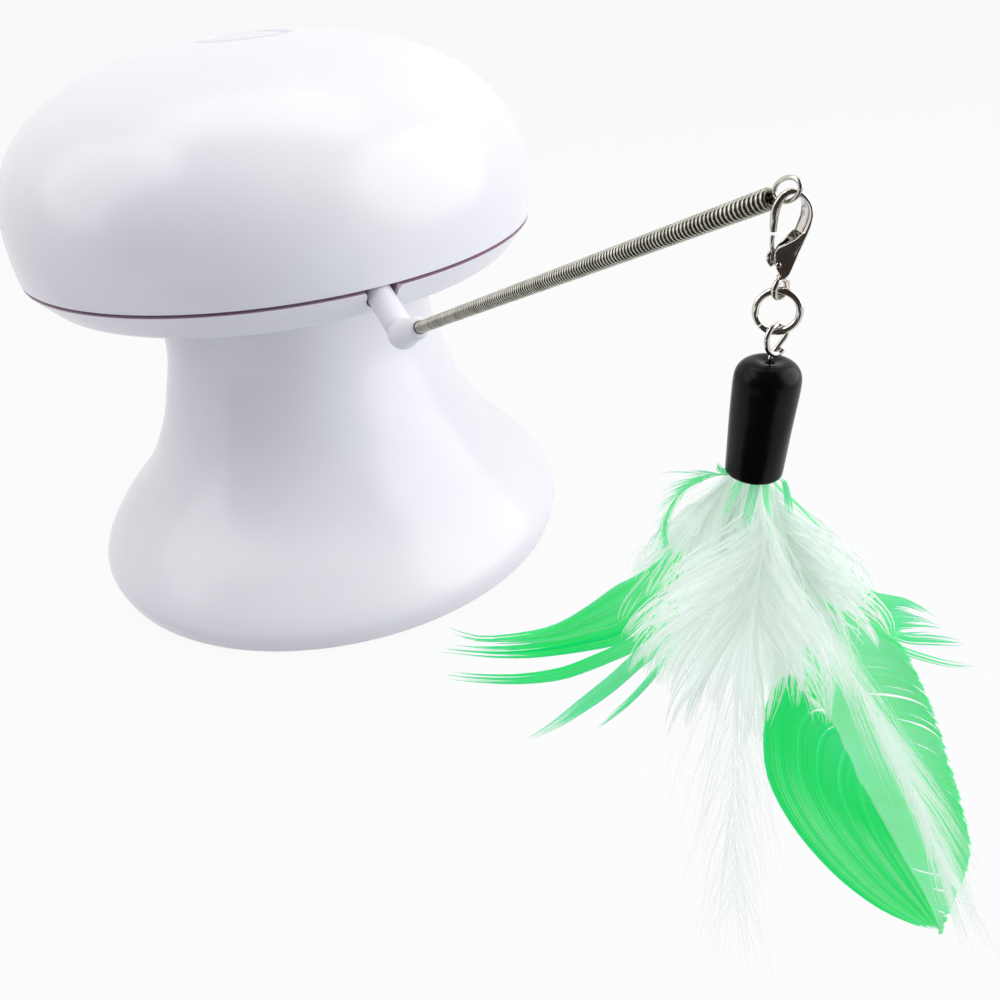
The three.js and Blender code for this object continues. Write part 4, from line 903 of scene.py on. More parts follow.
def flatBar(name, route, depths, widths, steps=64, power=2.8):
    # a bar in the x-z plane; its section is deep in y and wide in the plane, both changing along it
    line = spline([(x, z) for x, z in route], steps)
    deep = spline([(d, 0) for d in depths], steps)
    wide = spline([(w, 0) for w in widths], steps)
    sides = 20
    verts, faces = [], []
    for i, (x, z) in enumerate(line):
        ahead = line[min(i + 1, steps)] - line[max(i - 1, 0)]
        ahead = ahead / np.linalg.norm(ahead)
        out = np.array((-ahead[1], ahead[0]))
        for k in range(sides):
            turn = 2 * math.pi * k / sides
            c, s = math.cos(turn), math.sin(turn)
            u = math.copysign(abs(c) ** (2 / power), c) * wide[i][0]
            v = math.copysign(abs(s) ** (2 / power), s) * deep[i][0]
            verts.append(((x + out[0] * u) * mm, v * mm, (z + out[1] * u) * mm))
    for i in range(steps):
        for k in range(sides):
            n = (k + 1) % sides
            faces.append((i * sides + k, i * sides + n, (i + 1) * sides + n, (i + 1) * sides + k))
    faces.append(tuple(range(sides)))
    faces.append(tuple(reversed(range(steps * sides, (steps + 1) * sides))))
    return solidFrom(name, verts, faces)


def plateOf(name, outline, depth):
    # a flat plate in the x-z plane
    return prism(name, [(x * mm, y * mm, z * mm) for y in (-depth / 2, depth / 2) for x, z in outline])


def loopPoints(radius, place, tilt, count, start=0.0, end=2 * math.pi):
    # points of an upright wire loop in millimetres, turned by tilt about +Z
    turn = turnBy(tilt, "Z", 3)
    points = []
    for k in range(count):
        a = start + (end - start) * k / (count - 1)
        points.append(turn @ Vector((radius * math.cos(a), 0, radius * math.sin(a))) + Vector(place))
    return points


clasp = {
    "hook": [(-1.5, -4.6), (-1.55, -3.3), (-1.4, -1.7), (-0.75, -0.45), (0.2, 0.0), (1.05, -0.45),
             (1.75, -1.4), (1.92, -2.6), (1.7, -3.9), (1.25, -5.4), (0.75, -6.9), (0.35, -8.5)],
    "depths": [0.5, 0.56, 0.56, 0.5, 0.46, 0.56, 0.84, 0.98, 1.0, 0.98, 0.92, 0.85],
    "widths": [0.4, 0.48, 0.5, 0.4, 0.32, 0.3, 0.27, 0.26, 0.3, 0.36, 0.42, 0.36],
    "web": [(1.7, -4.3), (1.35, -5.6), (1.0, -7.0), (0.65, -8.3), (0.4, -9.3), (0.0, -9.9), (-0.4, -9.4),
            (-0.75, -8.7), (-1.02, -7.7), (-1.12, -6.9), (-0.8, -6.25), (-0.2, -5.85), (0.6, -5.15),
            (1.15, -4.5)],
    "webDepth": 1.8,
    "slot": [(-2.3, -8.95), (-0.02, -8.95), (0.1, -7.2), (0.4, -5.35), (-2.3, -5.35)], "slotDepth": 0.86,
    "flank": 0.62, "flankFrom": -1.1, "flankTo": 0.9,
    "loop": 1.1, "loopWire": 0.8, "loopPlace": (0.03, 0, -11.2), "loopTurn": 52,
}


def makeClasp():
    hook = flatBar("hook", clasp["hook"], clasp["depths"], clasp["widths"])
    web = plateOf("web", clasp["web"], clasp["webDepth"])
    # the solid flank leans: its back lies further left than its front
    for mesh in (hook, web):
        for v in mesh.vertices:
            share = (v.co.x / mm - clasp["flankFrom"]) / (clasp["flankTo"] - clasp["flankFrom"])
            share = min(max(share, 0), 1)
            v.co.x -= clasp["flank"] * v.co.y * share * share * (3 - 2 * share)
    neck = tube("neck", inMetres([(0, 0, -9.2), (0, 0, -10.2)]), 0.4 * mm, 16)
    collar = tube("collar", inMetres([(0, 0, -9.6), (0, 0, -9.95)]), 0.6 * mm, 20)
    loop = loopPoints(clasp["loop"], clasp["loopPlace"], clasp["loopTurn"], 33)[:-1]
    tail = tube("tail", inMetres(loop), clasp["loopWire"] / 2 * mm, 12, closed=True)
    body = castTogether("clasp", [hook, web, neck, collar, tail], 0.07, 4)
    body = cutMesh(body, plateOf("slot", clasp["slot"], clasp["slotDepth"]))
    addPiece("clasp_casting", moved(body, hangFrame()), "nickel", "clasp", ["clasp_body"], sharp=50)


gate = {
    "strip": [(-1.5, -4.99), (-1.52, -5.8), (-1.4, -6.6), (-1.1, -7.4), (-0.7, -8.1), (-0.4, -8.6)],
    "depths": [0.34, 0.36, 0.36, 0.36, 0.36, 0.34], "widths": [0.28, 0.26, 0.27, 0.4, 0.44, 0.32],
    "nub": [(-1.42, -6.7), (-1.62, -7.2), (-1.6, -7.9), (-1.25, -8.6)],
    "nubDepths": [0.3, 0.36, 0.36, 0.28], "nubWidths": [0.14, 0.32, 0.36, 0.18],
    "pin": 0.3, "pinHalf": 0.98, "pinPlace": (-0.5, 0, -8.2),
}


def makeGate():
    strip = flatBar("strip", gate["strip"], gate["depths"], gate["widths"], 32)
    nub = flatBar("nub", gate["nub"], gate["nubDepths"], gate["nubWidths"], 24)
    mesh = castTogether("gate", [strip, nub], 0.06, 3)
    addPiece("clasp_lever", moved(mesh, hangFrame()), "nickel", "gate", ["clasp_gate"], sharp=50)
    reach, half, ease = gate["pin"], gate["pinHalf"], 0.06
    ends = [(0, -half), (reach - ease, -half), (reach, ease - half)]
    ends += [(x, -z) for x, z in reversed(ends)]
    turn = hangFrame() @ moveTo(gate["pinPlace"]) @ turnBy(90, "X")
    addPiece("lever_pin", lathe("pin", ends, 24, turn), "nickel", "clasp", ["gate_pin"], sharp=40)


rings = {
    "ring": 2.55, "ringWire": 0.9, "ringPlace": (0, 0, -14.0), "ringEnds": 3.9, "ringGap": 0.035,
    "eyeWire": 0.68, "eyeTurn": 44, "eyeShift": 0.72,
    "eyeStem": [(0, -25.4), (0, -22.4), (0, -20.8), (0.02, -20.0)],
    "eyeLoop": [(0.35, -19.35), (1.25, -18.35), (2.0, -17.2), (1.4, -16.0), (0.25, -15.66), (-0.9, -16.1),
                (-1.35, -17.3), (-0.95, -18.6), (-0.1, -19.3), (0.7, -19.3), (1.2, -18.9)],
}


def makeRings():
    # the jump ring is bent round from wire, and its two ends meet at the lower left
    first = rings["ringEnds"] + rings["ringGap"]
    last = rings["ringEnds"] + 2 * math.pi - rings["ringGap"]
    route = loopPoints(rings["ring"], rings["ringPlace"], 0, 72, first, last)
    ring = tube("jump ring", inMetres(route), rings["ringWire"] / 2 * mm, 18)
    addPiece("jump_ring_wire", moved(ring, hangFrame()), "nickel", "ring", ["jump_ring"], sharp=50)
    # the cap's eye is one wire: up out of the cap, round, and over itself
    turn = turnBy(rings["eyeTurn"], "Z", 3)
    knots = rings["eyeStem"] + rings["eyeLoop"]
    first, count = len(rings["eyeStem"]), len(rings["eyeLoop"])
    shift = [-rings["eyeShift"] * max((k - first) / count, 0) ** 1.4 for k in range(len(knots))]
    route = [(x, y, z) for (x, z), y in zip(knots, shift)]
    route = [turn @ Vector(point) for point in spline(route, 110)]
    wire = tube("cap eye", inMetres(route), rings["eyeWire"] / 2 * mm, 14)
    addPiece("cap_eye_wire", moved(wire, bundleFrame()), "nickel", "toy", ["cap_eye"], sharp=50)


cap = {
    "skin": [(0.46, -20.72), (0.6, -20.56), (1.05, -20.4), (1.8, -20.28), (2.5, -20.4), (3.2, -20.78),
             (3.75, -21.4), (4.05, -22.15), (4.15, -23.1), (4.14, -24.6), (4.02, -28.0), (3.86, -32.0),
             (3.72, -35.0)],
    "mouth": [(3.7, -35.4), (3.66, -35.7), (3.56, -35.9), (3.4, -36.0), (3.22, -35.93), (3.1, -35.75),
              (3.06, -35.4)],
    "inside": [(3.12, -33), (3.4, -26), (3.5, -24.4), (3.0, -22.6), (2.4, -21.6), (0.46, -21.6)],
    "waver": 0.006,
    # the room that barbs have: up to the throat's radius above gather, and opening out below it
    "throat": 2.9, "gather": -36.3, "opening": 3.0, "wall": 4.0, "rim": -36.0,
}


def makeCap():
    line = [tuple(p) for p in spline(cap["skin"], 72)]
    mesh = lathe("cap", line + cap["mouth"] + cap["inside"], 128)
    # soft vinyl: dipped by hand, so it is never quite round
    for v in mesh.vertices:
        turn = math.atan2(v.co.y, v.co.x)
        drop = v.co.z / mm
        wave = 1 + cap["waver"] * (math.sin(2 * turn + drop * 0.25) + 0.7 * math.sin(5 * turn - drop * 0.6))
        v.co.x *= wave
        v.co.y *= wave
    addPiece("vinyl_cap", moved(mesh, bundleFrame()), "black_vinyl", "toy", ["feather_cap"], sharp=60)


makeClasp()
makeGate()
makeRings()
makeCap()

print("feathers")


class Barbs:
    # tapered strips and the fine threads on them, gathered into one mesh; places are in the bundle's frame
    def __init__(self, seed, beside=False):
        self.rng = np.random.default_rng(seed)
        self.verts, self.tris, self.shades = [], [], []
        self.count = 0
        self.beside = beside

    def keep(self, verts, tris, shades, rooted=False):
        # only quills go up into the cap: barbs begin at its mouth, or curl up beside it
        if not rooted and not self.beside:
            verts = np.column_stack([verts[:, :2], np.minimum(verts[:, 2], cap["rim"])])
        self.verts.append(verts)
        self.tris.append(tris + self.count)
        self.shades.append(shades)
        self.count += len(verts)

    def strip(self, path, widths, across, shade):
        n = len(path)
        ahead = headings(path)
        side = across - ahead * np.sum(ahead * across, axis=1)[:, None]
        side /= np.linalg.norm(side, axis=1)[:, None] + 1e-9
        verts = np.concatenate([path + side * widths[:, None] / 2, path - side * widths[:, None] / 2])
        k = np.arange(n - 1)
        tris = np.concatenate([np.stack([k, k + 1, k + n], 1), np.stack([k + 1, k + n + 1, k + n], 1)])
        self.keep(verts, tris, np.concatenate([shade, shade]))

    def fringe(self, path, row, shade, flat=None):
        # fine threads along both sides of a barb: all round it, or in the plane that flat gives
        rng = self.rng
        length = np.sum(np.linalg.norm(np.diff(path, axis=0), axis=1))
        n = max(int(length / row["spacing"]), 4)
        share = np.sort(rng.uniform(0.06, 0.98, n))
        roots, ahead = at(path, share), at(headings(path), share)
        out = rng.normal(0, 1, (n, 3))
        if flat is not None:
            out = out * 0.35 + flat * np.where(np.arange(n) % 2, 1, -1)[:, None]
        out -= ahead * np.sum(out * ahead, axis=1)[:, None]
        out /= np.linalg.norm(out, axis=1)[:, None] + 1e-9
        size = row["reach"] * (1 - share) ** 0.4 * rng.uniform(0.5, 1.0, n)
        tips = roots + (ahead * row["lean"] + out * (1 - row["lean"])) * size[:, None]
        foot = ahead * row["width"] / 2
        tone = at(shade[:, None], share)[:, 0]
        k = np.arange(n)
        self.keep(np.concatenate([roots - foot, roots + foot, tips]), np.stack([k, k + n, k + 2 * n], 1),
                  np.concatenate([tone, tone, tone]))

    def quill(self, path, radii, shade, sides=7):
        ahead = headings(path)
        a = np.cross(ahead, (0.3, 1.0, 0.1))
        a /= np.linalg.norm(a, axis=1)[:, None]
        b = np.cross(ahead, a)
        turns = 2 * math.pi * np.arange(sides) / sides
        rings = [path + (a * math.cos(turn) + b * math.sin(turn)) * radii[:, None] for turn in turns]
        n = len(path)
        i, k = np.meshgrid(np.arange(n - 1), np.arange(sides))
        i, k, m = i.ravel(), k.ravel(), ((k + 1) % sides).ravel()
        tris = np.concatenate([
            np.stack([k * n + i, m * n + i, k * n + i + 1], 1),
            np.stack([m * n + i, m * n + i + 1, k * n + i + 1], 1)])
        self.keep(np.concatenate(rings), tris, np.full(n * sides, shade), rooted=True)

    def build(self, name, slot, node):
        place = np.array(bundleFrame())
        verts = np.concatenate(self.verts)
        # the cap's mouth gathers the barbs; a curl beside the cap stays outside it
        reach = np.hypot(verts[:, 0], verts[:, 1])
        room = cap["throat"] + np.maximum(cap["gather"] - verts[:, 2], 0) * cap["opening"]
        pull = np.minimum(room / (reach + 1e-9), 1.0)
        if self.beside:
            pull = np.where(reach < cap["wall"], pull, 1.0)
        verts[:, :2] *= pull[:, None]
        verts = verts * mm @ place[:3, :3].T + place[:3, 3]
        # what reaches the floor lies on it
        verts[:, 2] = np.maximum(verts[:, 2], 0.0003 + 0.0004 * np.abs(np.sin(verts[:, 0] * 9000)))
        tris = np.concatenate(self.tris).astype(np.int32)
        mesh = bpy.data.meshes.new(name)
        mesh.vertices.add(len(verts))
        mesh.vertices.foreach_set("co", verts.astype(np.float32).ravel())
        mesh.loops.add(len(tris) * 3)
        mesh.loops.foreach_set("vertex_index", tris.ravel())
        mesh.polygons.add(len(tris))
        mesh.polygons.foreach_set("loop_start", np.arange(0, len(tris) * 3, 3, dtype=np.int32))
        mesh.update(calc_edges=True)
        shade = mesh.attributes.new("shade", "FLOAT", "POINT")
        shade.data.foreach_set("value", np.clip(np.concatenate(self.shades), 0, 1).astype(np.float32))
        addPiece(name, mesh, slot, "toy", [node])
        print("  ", name, len(tris), "triangles")


def curve(knots, steps):
    return np.array(spline(knots, steps))


def at(line, share):
    # the place at a share of a line of points
    share = np.clip(share, 0, 1) * (len(line) - 1)
    k = np.minimum(np.floor(share).astype(int), len(line) - 2)
    w = (share - k)[..., None]
    return line[k] * (1 - w) + line[k + 1] * w


def headings(path):
    ahead = np.gradient(path, axis=0)
    return ahead / (np.linalg.norm(ahead, axis=1)[:, None] + 1e-9)


def bezier(a, b, c, d, steps):
    t = np.linspace(0, 1, steps)[:, None]
    return a * (1 - t) ** 3 + 3 * b * t * (1 - t) ** 2 + 3 * c * t ** 2 * (1 - t) + d * t ** 3


def unit(v):
    return v / (np.linalg.norm(v) + 1e-9)


def profile(rows, steps):
    # values given at shares of a length, read off at even steps
    shares, values = zip(*rows)
    return np.interp(np.linspace(0, 1, steps), shares, values)


down = {
    "mouth": (0.5, 0, -36),
    "outline": [  # angle from straight down, and how far the down reaches there
        (-66, 5), (-50, 14.5), (-42, 21), (-36, 28), (-32, 32), (-20, 37), (-10, 43), (-4, 43),
        (0, 40), (6, 43),
        (10, 42), (18, 42), (28, 36), (38, 32), (47, 28), (52, 20), (56, 12), (64, 6)],
    "ribbon": [(0, 0.16), (0.3, 0.34), (0.7, 0.26), (1, 0.02)], "longRibbon": [(0, 1), (0.4, 0.8), (1, 0.15)],
    # painted shade along each barb of the down: darker at its root, white at its tip
    "tone": [(0, 0.5), (0.5, 0.75), (1, 1.0)],
    "quill": (0.42, 0.1), "lockTone": 0.09, "points": 12,
    "wander": 0.022, "spread": 0.9, "gather": 0.3, "bow": 0.4,
    "base": 0.09, "lead": 0.36, "draw": 0.34,  # shares of the rachis and of a barb's length
    "fringe": {"reach": 0.95, "spacing": 0.17, "width": 0.05, "lean": 0.66},
}
# each plume's tone is painted shade: plume 4, furthest back, and plume 2, on the right, come out darker, and
# plume 3 in front lighter
plumes = {
    "down_plume_1": {
        "node": "white_plume_1", "seed": 11,
        "rachis": [(-1.6, 0.6, -27), (-2.0, 0.9, -36), (-6, 0.5, -45), (-10, 0, -55)],
        "sweep": (-44, -6), "depth": (-4, 4.5), "locks": 48, "barbs": 12, "tone": 0.0},
    "down_plume_2": {
        "node": "white_plume_2", "seed": 12,
        "sweep": (6, 52), "depth": (-6.5, 3), "locks": 48, "barbs": 12, "tone": -0.18,
        "rachis": [(1.2, 1.7, -27), (1.6, 2.0, -36), (5, -1, -44), (10.5, -4, -53), (16, -5.6, -61)],
        "tail": {
            "rachis": [(10.5, -4, -53), (18.1, -6.5, -64), (23.5, -6.9, -72), (28.6, -7.2, -80.6),
                       (33.2, -7.2, -89.8), (37.5, -7.2, -98)],
            "quill": (0.16, 0.04), "count": 230, "from": 0.0, "to": 0.96, "reach": (14, 25),
            "open": (0.02, 0.15), "lift": 0.5, "tone": (0.85, 1.0), "width": 0.15,
            "fringe": {"reach": 0.7, "spacing": 0.5, "width": 0.04, "lean": 0.75}}},
    "down_plume_3": {
        "node": "white_plume_3", "seed": 13,
        "rachis": [(0.5, -1.9, -27), (0.9, -2.3, -36), (2.6, -4.6, -43), (2.2, -6, -51), (1.5, -7, -58)],
        "sweep": (-32, 30), "depth": (-9, -4), "locks": 52, "barbs": 12, "tone": 0.06},
    "down_plume_4": {
        "node": "white_plume_4", "seed": 14,
        "rachis": [(-0.6, 2.0, -27), (-0.7, 2.4, -36), (-1.5, 5, -48), (-2, 7, -60)],
        "sweep": (-40, 44), "depth": (3.5, 9.5), "locks": 44, "barbs": 12, "tone": -0.25},
}


def addLock(barbs, rachis, start, tip, count, lean):
    # barbs that leave the rachis side by side, swell apart and draw together at one tip
    rng = barbs.rng
    ahead = unit(at(rachis, min(start + 0.05, 1.0)) - at(rachis, start - 0.05))
    outward = unit(tip - np.array(down["mouth"], float))
    # lean carries the plume's painted shade; each lock's tone varies at random around it
    tone = down["lockTone"] * rng.normal() + lean
    for j in range(count):
        base = at(rachis, start + rng.uniform(-down["base"], down["base"]))
        off = rng.normal(0, 1, 3) * down["spread"]
        end = tip + off * down["gather"] * np.array((1, 1, 1.8))
        length = np.linalg.norm(end - base)
        side = np.array((outward[0], outward[1] * 0.5, 0)) * down["bow"]
        lead = base + (ahead * 0.4 + unit(end - base) * 0.5 + side) * length * down["lead"] + off * 0.35
        draw = end - (outward * 0.45 + np.array((0, 0, -0.55))) * length * down["draw"] + off
        path = bezier(base, lead, draw, end, down["points"])
        path += np.cumsum(rng.normal(0, down["wander"], path.shape), axis=0)
        # painted shade: darker at the barb's root, with the lock's tone added
        shade = profile(down["tone"], down["points"]) + tone + rng.normal(0, 0.05)
        across = np.cross(end - base, rng.normal(0, 0.6, 3) + np.array((0, 1, 0)))
        barbs.strip(path, profile(down["ribbon"], down["points"]), across, shade)
        barbs.fringe(path, down["fringe"], shade, unit(across) if j % 2 else None)


def addLongBarbs(barbs, row):
    # a soft plume: long thin barbs that leave both sides of a rachis and run nearly along it
    rng = barbs.rng
    rachis = curve(row["rachis"], 90)
    barbs.quill(rachis, np.linspace(*row["quill"], 91), row["tone"][1], 5)
    for k in range(row["count"]):
        start = row["from"] + (row["to"] - row["from"]) * k / row["count"]
        root = at(rachis, start)
        if start > 0.05:
            ahead = unit(root - at(rachis, start - 0.04))
        else:
            ahead = unit(at(rachis, start + 0.04) - root)
        aside = unit(np.cross(ahead, (0, 1, 0))) * (1 if k % 2 else -1) * rng.uniform(*row["open"])
        aside[1] += rng.normal(0, 0.06) * row["lift"]
        reach = rng.uniform(*row["reach"]) * (1 - 0.5 * max(start - 0.5, 0))
        end = root + (ahead + aside) * reach
        lead = root + (ahead * 0.25 + aside * 0.55) * reach
        draw = end - (ahead * 0.4 + aside * 0.1) * reach
        path = bezier(root, lead, draw, end, down["points"])
        shade = np.full(down["points"], rng.uniform(*row["tone"]))
        widths = profile(down["longRibbon"], down["points"]) * row["width"]
        barbs.strip(path, widths, np.array((0.9, 0.3, 0.1)), shade)
        barbs.fringe(path, row["fringe"], shade)


def makePlume(name, row):
    barbs = Barbs(row["seed"])
    rachis = curve(row["rachis"], 60)
    barbs.quill(rachis, np.linspace(*down["quill"], 61), 0.75)
    mouth = np.array(down["mouth"], float)
    angles, reaches = zip(*down["outline"])
    low, high = row["sweep"]
    for k in range(row["locks"]):
        angle = low + (high - low) * ((k * 0.618034 + 0.31) % 1)
        share = (0.42 + 0.58 * math.sqrt((k + 0.5) / row["locks"])) * barbs.rng.uniform(0.92, 1.02)
        reach = float(np.interp(angle, angles, reaches)) * share
        tip = mouth + reach * np.array((math.sin(angle * deg), 0, -math.cos(angle * deg)))
        tip[1] = barbs.rng.uniform(*row["depth"]) * (0.35 + 0.65 * share)
        start = 0.3 + 0.5 * share * barbs.rng.uniform(0.25, 1.0)
        addLock(barbs, rachis, start, tip, row["barbs"], row["tone"])
    if "tail" in row:
        addLongBarbs(barbs, row["tail"])
    barbs.build(name, "white_feather", row["node"])


for name, row in plumes.items():
    makePlume(name, row)

trailing = {
    "seed": 15,
    "rachis": [(0.8, 0, -27), (0.8, 0, -36), (1.2, 0, -56), (3, 0, -82), (6, 0.5, -108), (8.5, 1, -131)],
    "quill": (0.3, 0.03), "count": 280, "from": 0.12, "to": 0.92, "reach": (26, 42),
    "open": (0.02, 0.27), "lift": 1.0, "tone": (0.6, 0.9), "width": 0.075,
    "fringe": {"reach": 0.8, "spacing": 1.2, "width": 0.03, "lean": 0.75},
}


def makeTrailing():
    barbs = Barbs(trailing["seed"])
    addLongBarbs(barbs, trailing)
    barbs.build("trailing_plume", "white_feather", "white_plume_5")


makeTrailing()

vane = {
    "rachis": [(1.8, -1.3, -27), (1.8, -1.3, -37), (3.9, -2.2, -46), (5.9, -3.2, -52.9), (9.8, -4, -63.9),
               (14.2, -4.2, -69.7), (17.4, -4.4, -74.7), (21.6, -4.7, -82.6), (25.5, -5, -88.5),
               (29, -5.2, -94.1), (33.9, -5.5, -101.9), (38.4, -5.8, -109.5)],
    "seed": 21, "quill": (0.5, 0.09),
    "left": [(6.6, -3.4, -56), (5.6, -3.9, -62), (5.6, -4.3, -68.7), (6.4, -4.5, -75.1), (8.3, -4.6, -84.3),
             (12.2, -4.8, -92.0), (17.3, -5, -98.7), (23.2, -5.2, -104.4), (29.3, -5.5, -108.3),
             (34.9, -5.7, -110), (38.6, -5.8, -110.2)],
    "right": [(16.5, -3, -51), (19.8, -3.4, -55.6), (23.2, -3.7, -58.6), (27.1, -4, -65.1),
              (30.8, -4.3, -72.6), (34.4, -4.6, -80.6), (37.2, -4.9, -87.2), (38.7, -5.2, -92.2),
              (39.1, -5.4, -97), (38.9, -5.6, -102.5), (38.6, -5.8, -110.2)],
    "leftFrom": 0.38, "leftCount": 110, "leftLocks": 6, "leftWidth": 0.62,
    "slit": (0.05, 0.1, 0.28, 0.16, 0.3, 0.12),
    "leftPoints": 26, "leftRibbon": [(0, 0.5), (0.25, 1), (0.75, 0.8), (1, 0.12)],
    "leftTone": (-0.05, 0.1), "leftAlong": [(0, 0.15), (0.25, 0.08), (0.9, 0.05), (1, 0.3)],
    "leftFade": 0.55, "fadeAlong": [(0, 0), (0.3, 0.1), (0.55, 1), (1, 1)],
    "lines": 44, "lineTone": [(0, 0.1), (0.3, 0.1), (0.5, 0.7), (1, 0.7)], "lineWidth": 0.11,
    "rightFrom": 0.22, "rightCount": 300, "rightLocks": 14, "rightWidth": 0.66,
    "rightPoints": 18, "rightRibbon": [(0, 0.5), (0.3, 1), (0.85, 0.8), (1, 0.2)],
    "rightTone": [(0, 1.0), (0.6, 0.93), (1, 0.55)],
    "roots": [  # green barbs that show at the cap's mouth, between the white ones
        ([(1.0, -2.6, -35), (0.9, -3.4, -38.4), (0.4, -4.6, -43.5)],
         [(-0.1, -2.6, -35), (-0.4, -3.4, -38.4), (-0.8, -4.6, -42)], 4, 0.3, 0.8),
        ([(3.0, -0.4, -35), (4.0, -0.6, -37.4), (4.8, -0.8, -41.5)],
         [(3.3, 0.2, -35), (4.8, 0.2, -38), (6.4, 0.2, -42.5)], 5, 0.3, 0.65)],
}


def addSheet(barbs, first, last, count, width, tone, ragged=0.12, points=18):
    # a flat lock of barbs side by side between two lines, each ending at its own length
    rng = barbs.rng
    first, last = curve(first, 48), curve(last, 48)
    for k in range(count):
        share = (k + 0.5) / count
        stop = 1 - ragged * rng.uniform(0, 1)
        steps = np.linspace(0, stop, points)
        path = at(first, steps) * (1 - share) + at(last, steps) * share
        path[:, 1] += 0.3 * math.sin(share * 11) * np.linspace(0.3, 1, points) + rng.normal(0, 0.05)
        shade = tone + rng.normal(0, 0.1)
        shade = shade + profile([(0, 0.25), (0.3, 0.12), (0.6, 0), (0.85, 0.06), (1, 0.3)], points)
        widths = width * profile([(0, 0.6), (0.3, 1), (0.7, 0.8), (1, 0.08)], points)
        ahead = headings(path)
        lean = (rng.normal(0, 0.15), 1, rng.normal(0, 0.15))
        barbs.strip(path, widths, np.cross(ahead.mean(axis=0), lean), shade)


def makeVane():
    # the big dyed feather: long barbs close along one side of a pale rachis, open ones along the other
    barbs = Barbs(vane["seed"])
    rng = barbs.rng
    rachis = curve(vane["rachis"], 140)
    barbs.quill(rachis, np.linspace(*vane["quill"], 141), 1.0)
    left, right = curve(vane["left"], 120), curve(vane["right"], 120)
    low, points = vane["leftFrom"], vane["leftPoints"]
    for k in range(vane["leftCount"] + vane["lines"]):
        line = k >= vane["leftCount"]
        share = rng.uniform(0.03, 0.97) if line else (k + 0.5) / vane["leftCount"]
        lock = int(share * vane["leftLocks"])
        within = share * vane["leftLocks"] - lock
        start = 0.02 + 0.5 * share ** 1.3
        stop = 0.93 + 0.07 * share - rng.uniform(0, 0.03)
        steps = np.linspace(start, stop, points)
        slit = vane["slit"][lock] * np.sin(np.clip((steps - start) / (0.9 - start), 0, 1) * math.pi)
        held = (lock + 0.5 + (within - 0.5) * (1 - slit)) / vane["leftLocks"]
        weight = held + (1 - held) * np.exp(-(steps - start) / 0.09)
        path = at(left, steps) * (1 - weight[:, None]) + at(rachis, low + (1 - low) * steps) * weight[:, None]
        path[:, 1] -= 0.5 * np.sin(weight * math.pi) + (0.45 if line else 0.4 * (1 - within))
        fade = vane["leftFade"] * within ** 2.2 * profile(vane["fadeAlong"], points)
        tone = rng.uniform(*vane["leftTone"]) + fade + profile(vane["leftAlong"], points)
        if line:
            tone = profile(vane["lineTone"], points)
        width = vane["lineWidth"] if line else vane["leftWidth"]
        widths = width * profile(vane["leftRibbon"], points)
        barbs.strip(path, widths, np.cross(headings(path).mean(axis=0), (0.1, 1, 0.1)), tone)
    first, locks, points = vane["rightFrom"], vane["rightLocks"], vane["rightPoints"]
    even = np.linspace(0, 1, points)
    for k in range(vane["rightCount"]):
        share = (k + 0.5) / vane["rightCount"]
        lock = int(share * locks)
        pull = (0.3 if lock % 5 == 2 else 0.05) * (0.5 - (share * locks - lock)) / locks
        root = at(rachis, first + (0.99 - first) * share ** 0.85)
        ahead = unit(at(rachis, min(first + (0.99 - first) * share + 0.02, 1.0)) - root)
        place = min(0.13 + 0.87 * (share + pull) ** 0.92, 1.0)
        tip = at(right, place)
        edge = unit(at(right, min(place + 0.03, 1.0)) - at(right, place - 0.03))
        length = np.linalg.norm(tip - root)
        lead = root + (unit(tip - root) * 0.6 + ahead * 0.25) * length * 0.36
        draw = tip - (edge * 0.85 + unit(tip - root) * 0.2) * length * 0.4
        wander = edge * rng.uniform(-0.5, 1.6)
        tip = tip + wander + unit(tip - root) * rng.uniform(-0.4, 0.1) + rng.normal(0, 0.06, 3)
        path = bezier(root, lead, draw, tip, points)
        path[:, 1] -= np.sin(np.linspace(0, math.pi, points)) * 0.6 + 0.25 * math.sin(lock * 2.1) * even
        shade = profile(vane["rightTone"], points) + 0.07 * math.sin(lock * 1.7) + rng.normal(0, 0.06)
        widths = vane["rightWidth"] * profile(vane["rightRibbon"], points)
        barbs.strip(path, widths, np.cross(headings(path).mean(axis=0), (0.1, 1, 0.2)), shade)
    for row in vane["roots"]:
        addSheet(barbs, *row)
    barbs.build("dyed_feather", "green_feather", "green_feather_1")


makeVane()



def level(root, depth, *places):
    # a line from a root, which then keeps to one depth; the places are x and z
    return [root] + [(x, depth, z) for x, z in places]


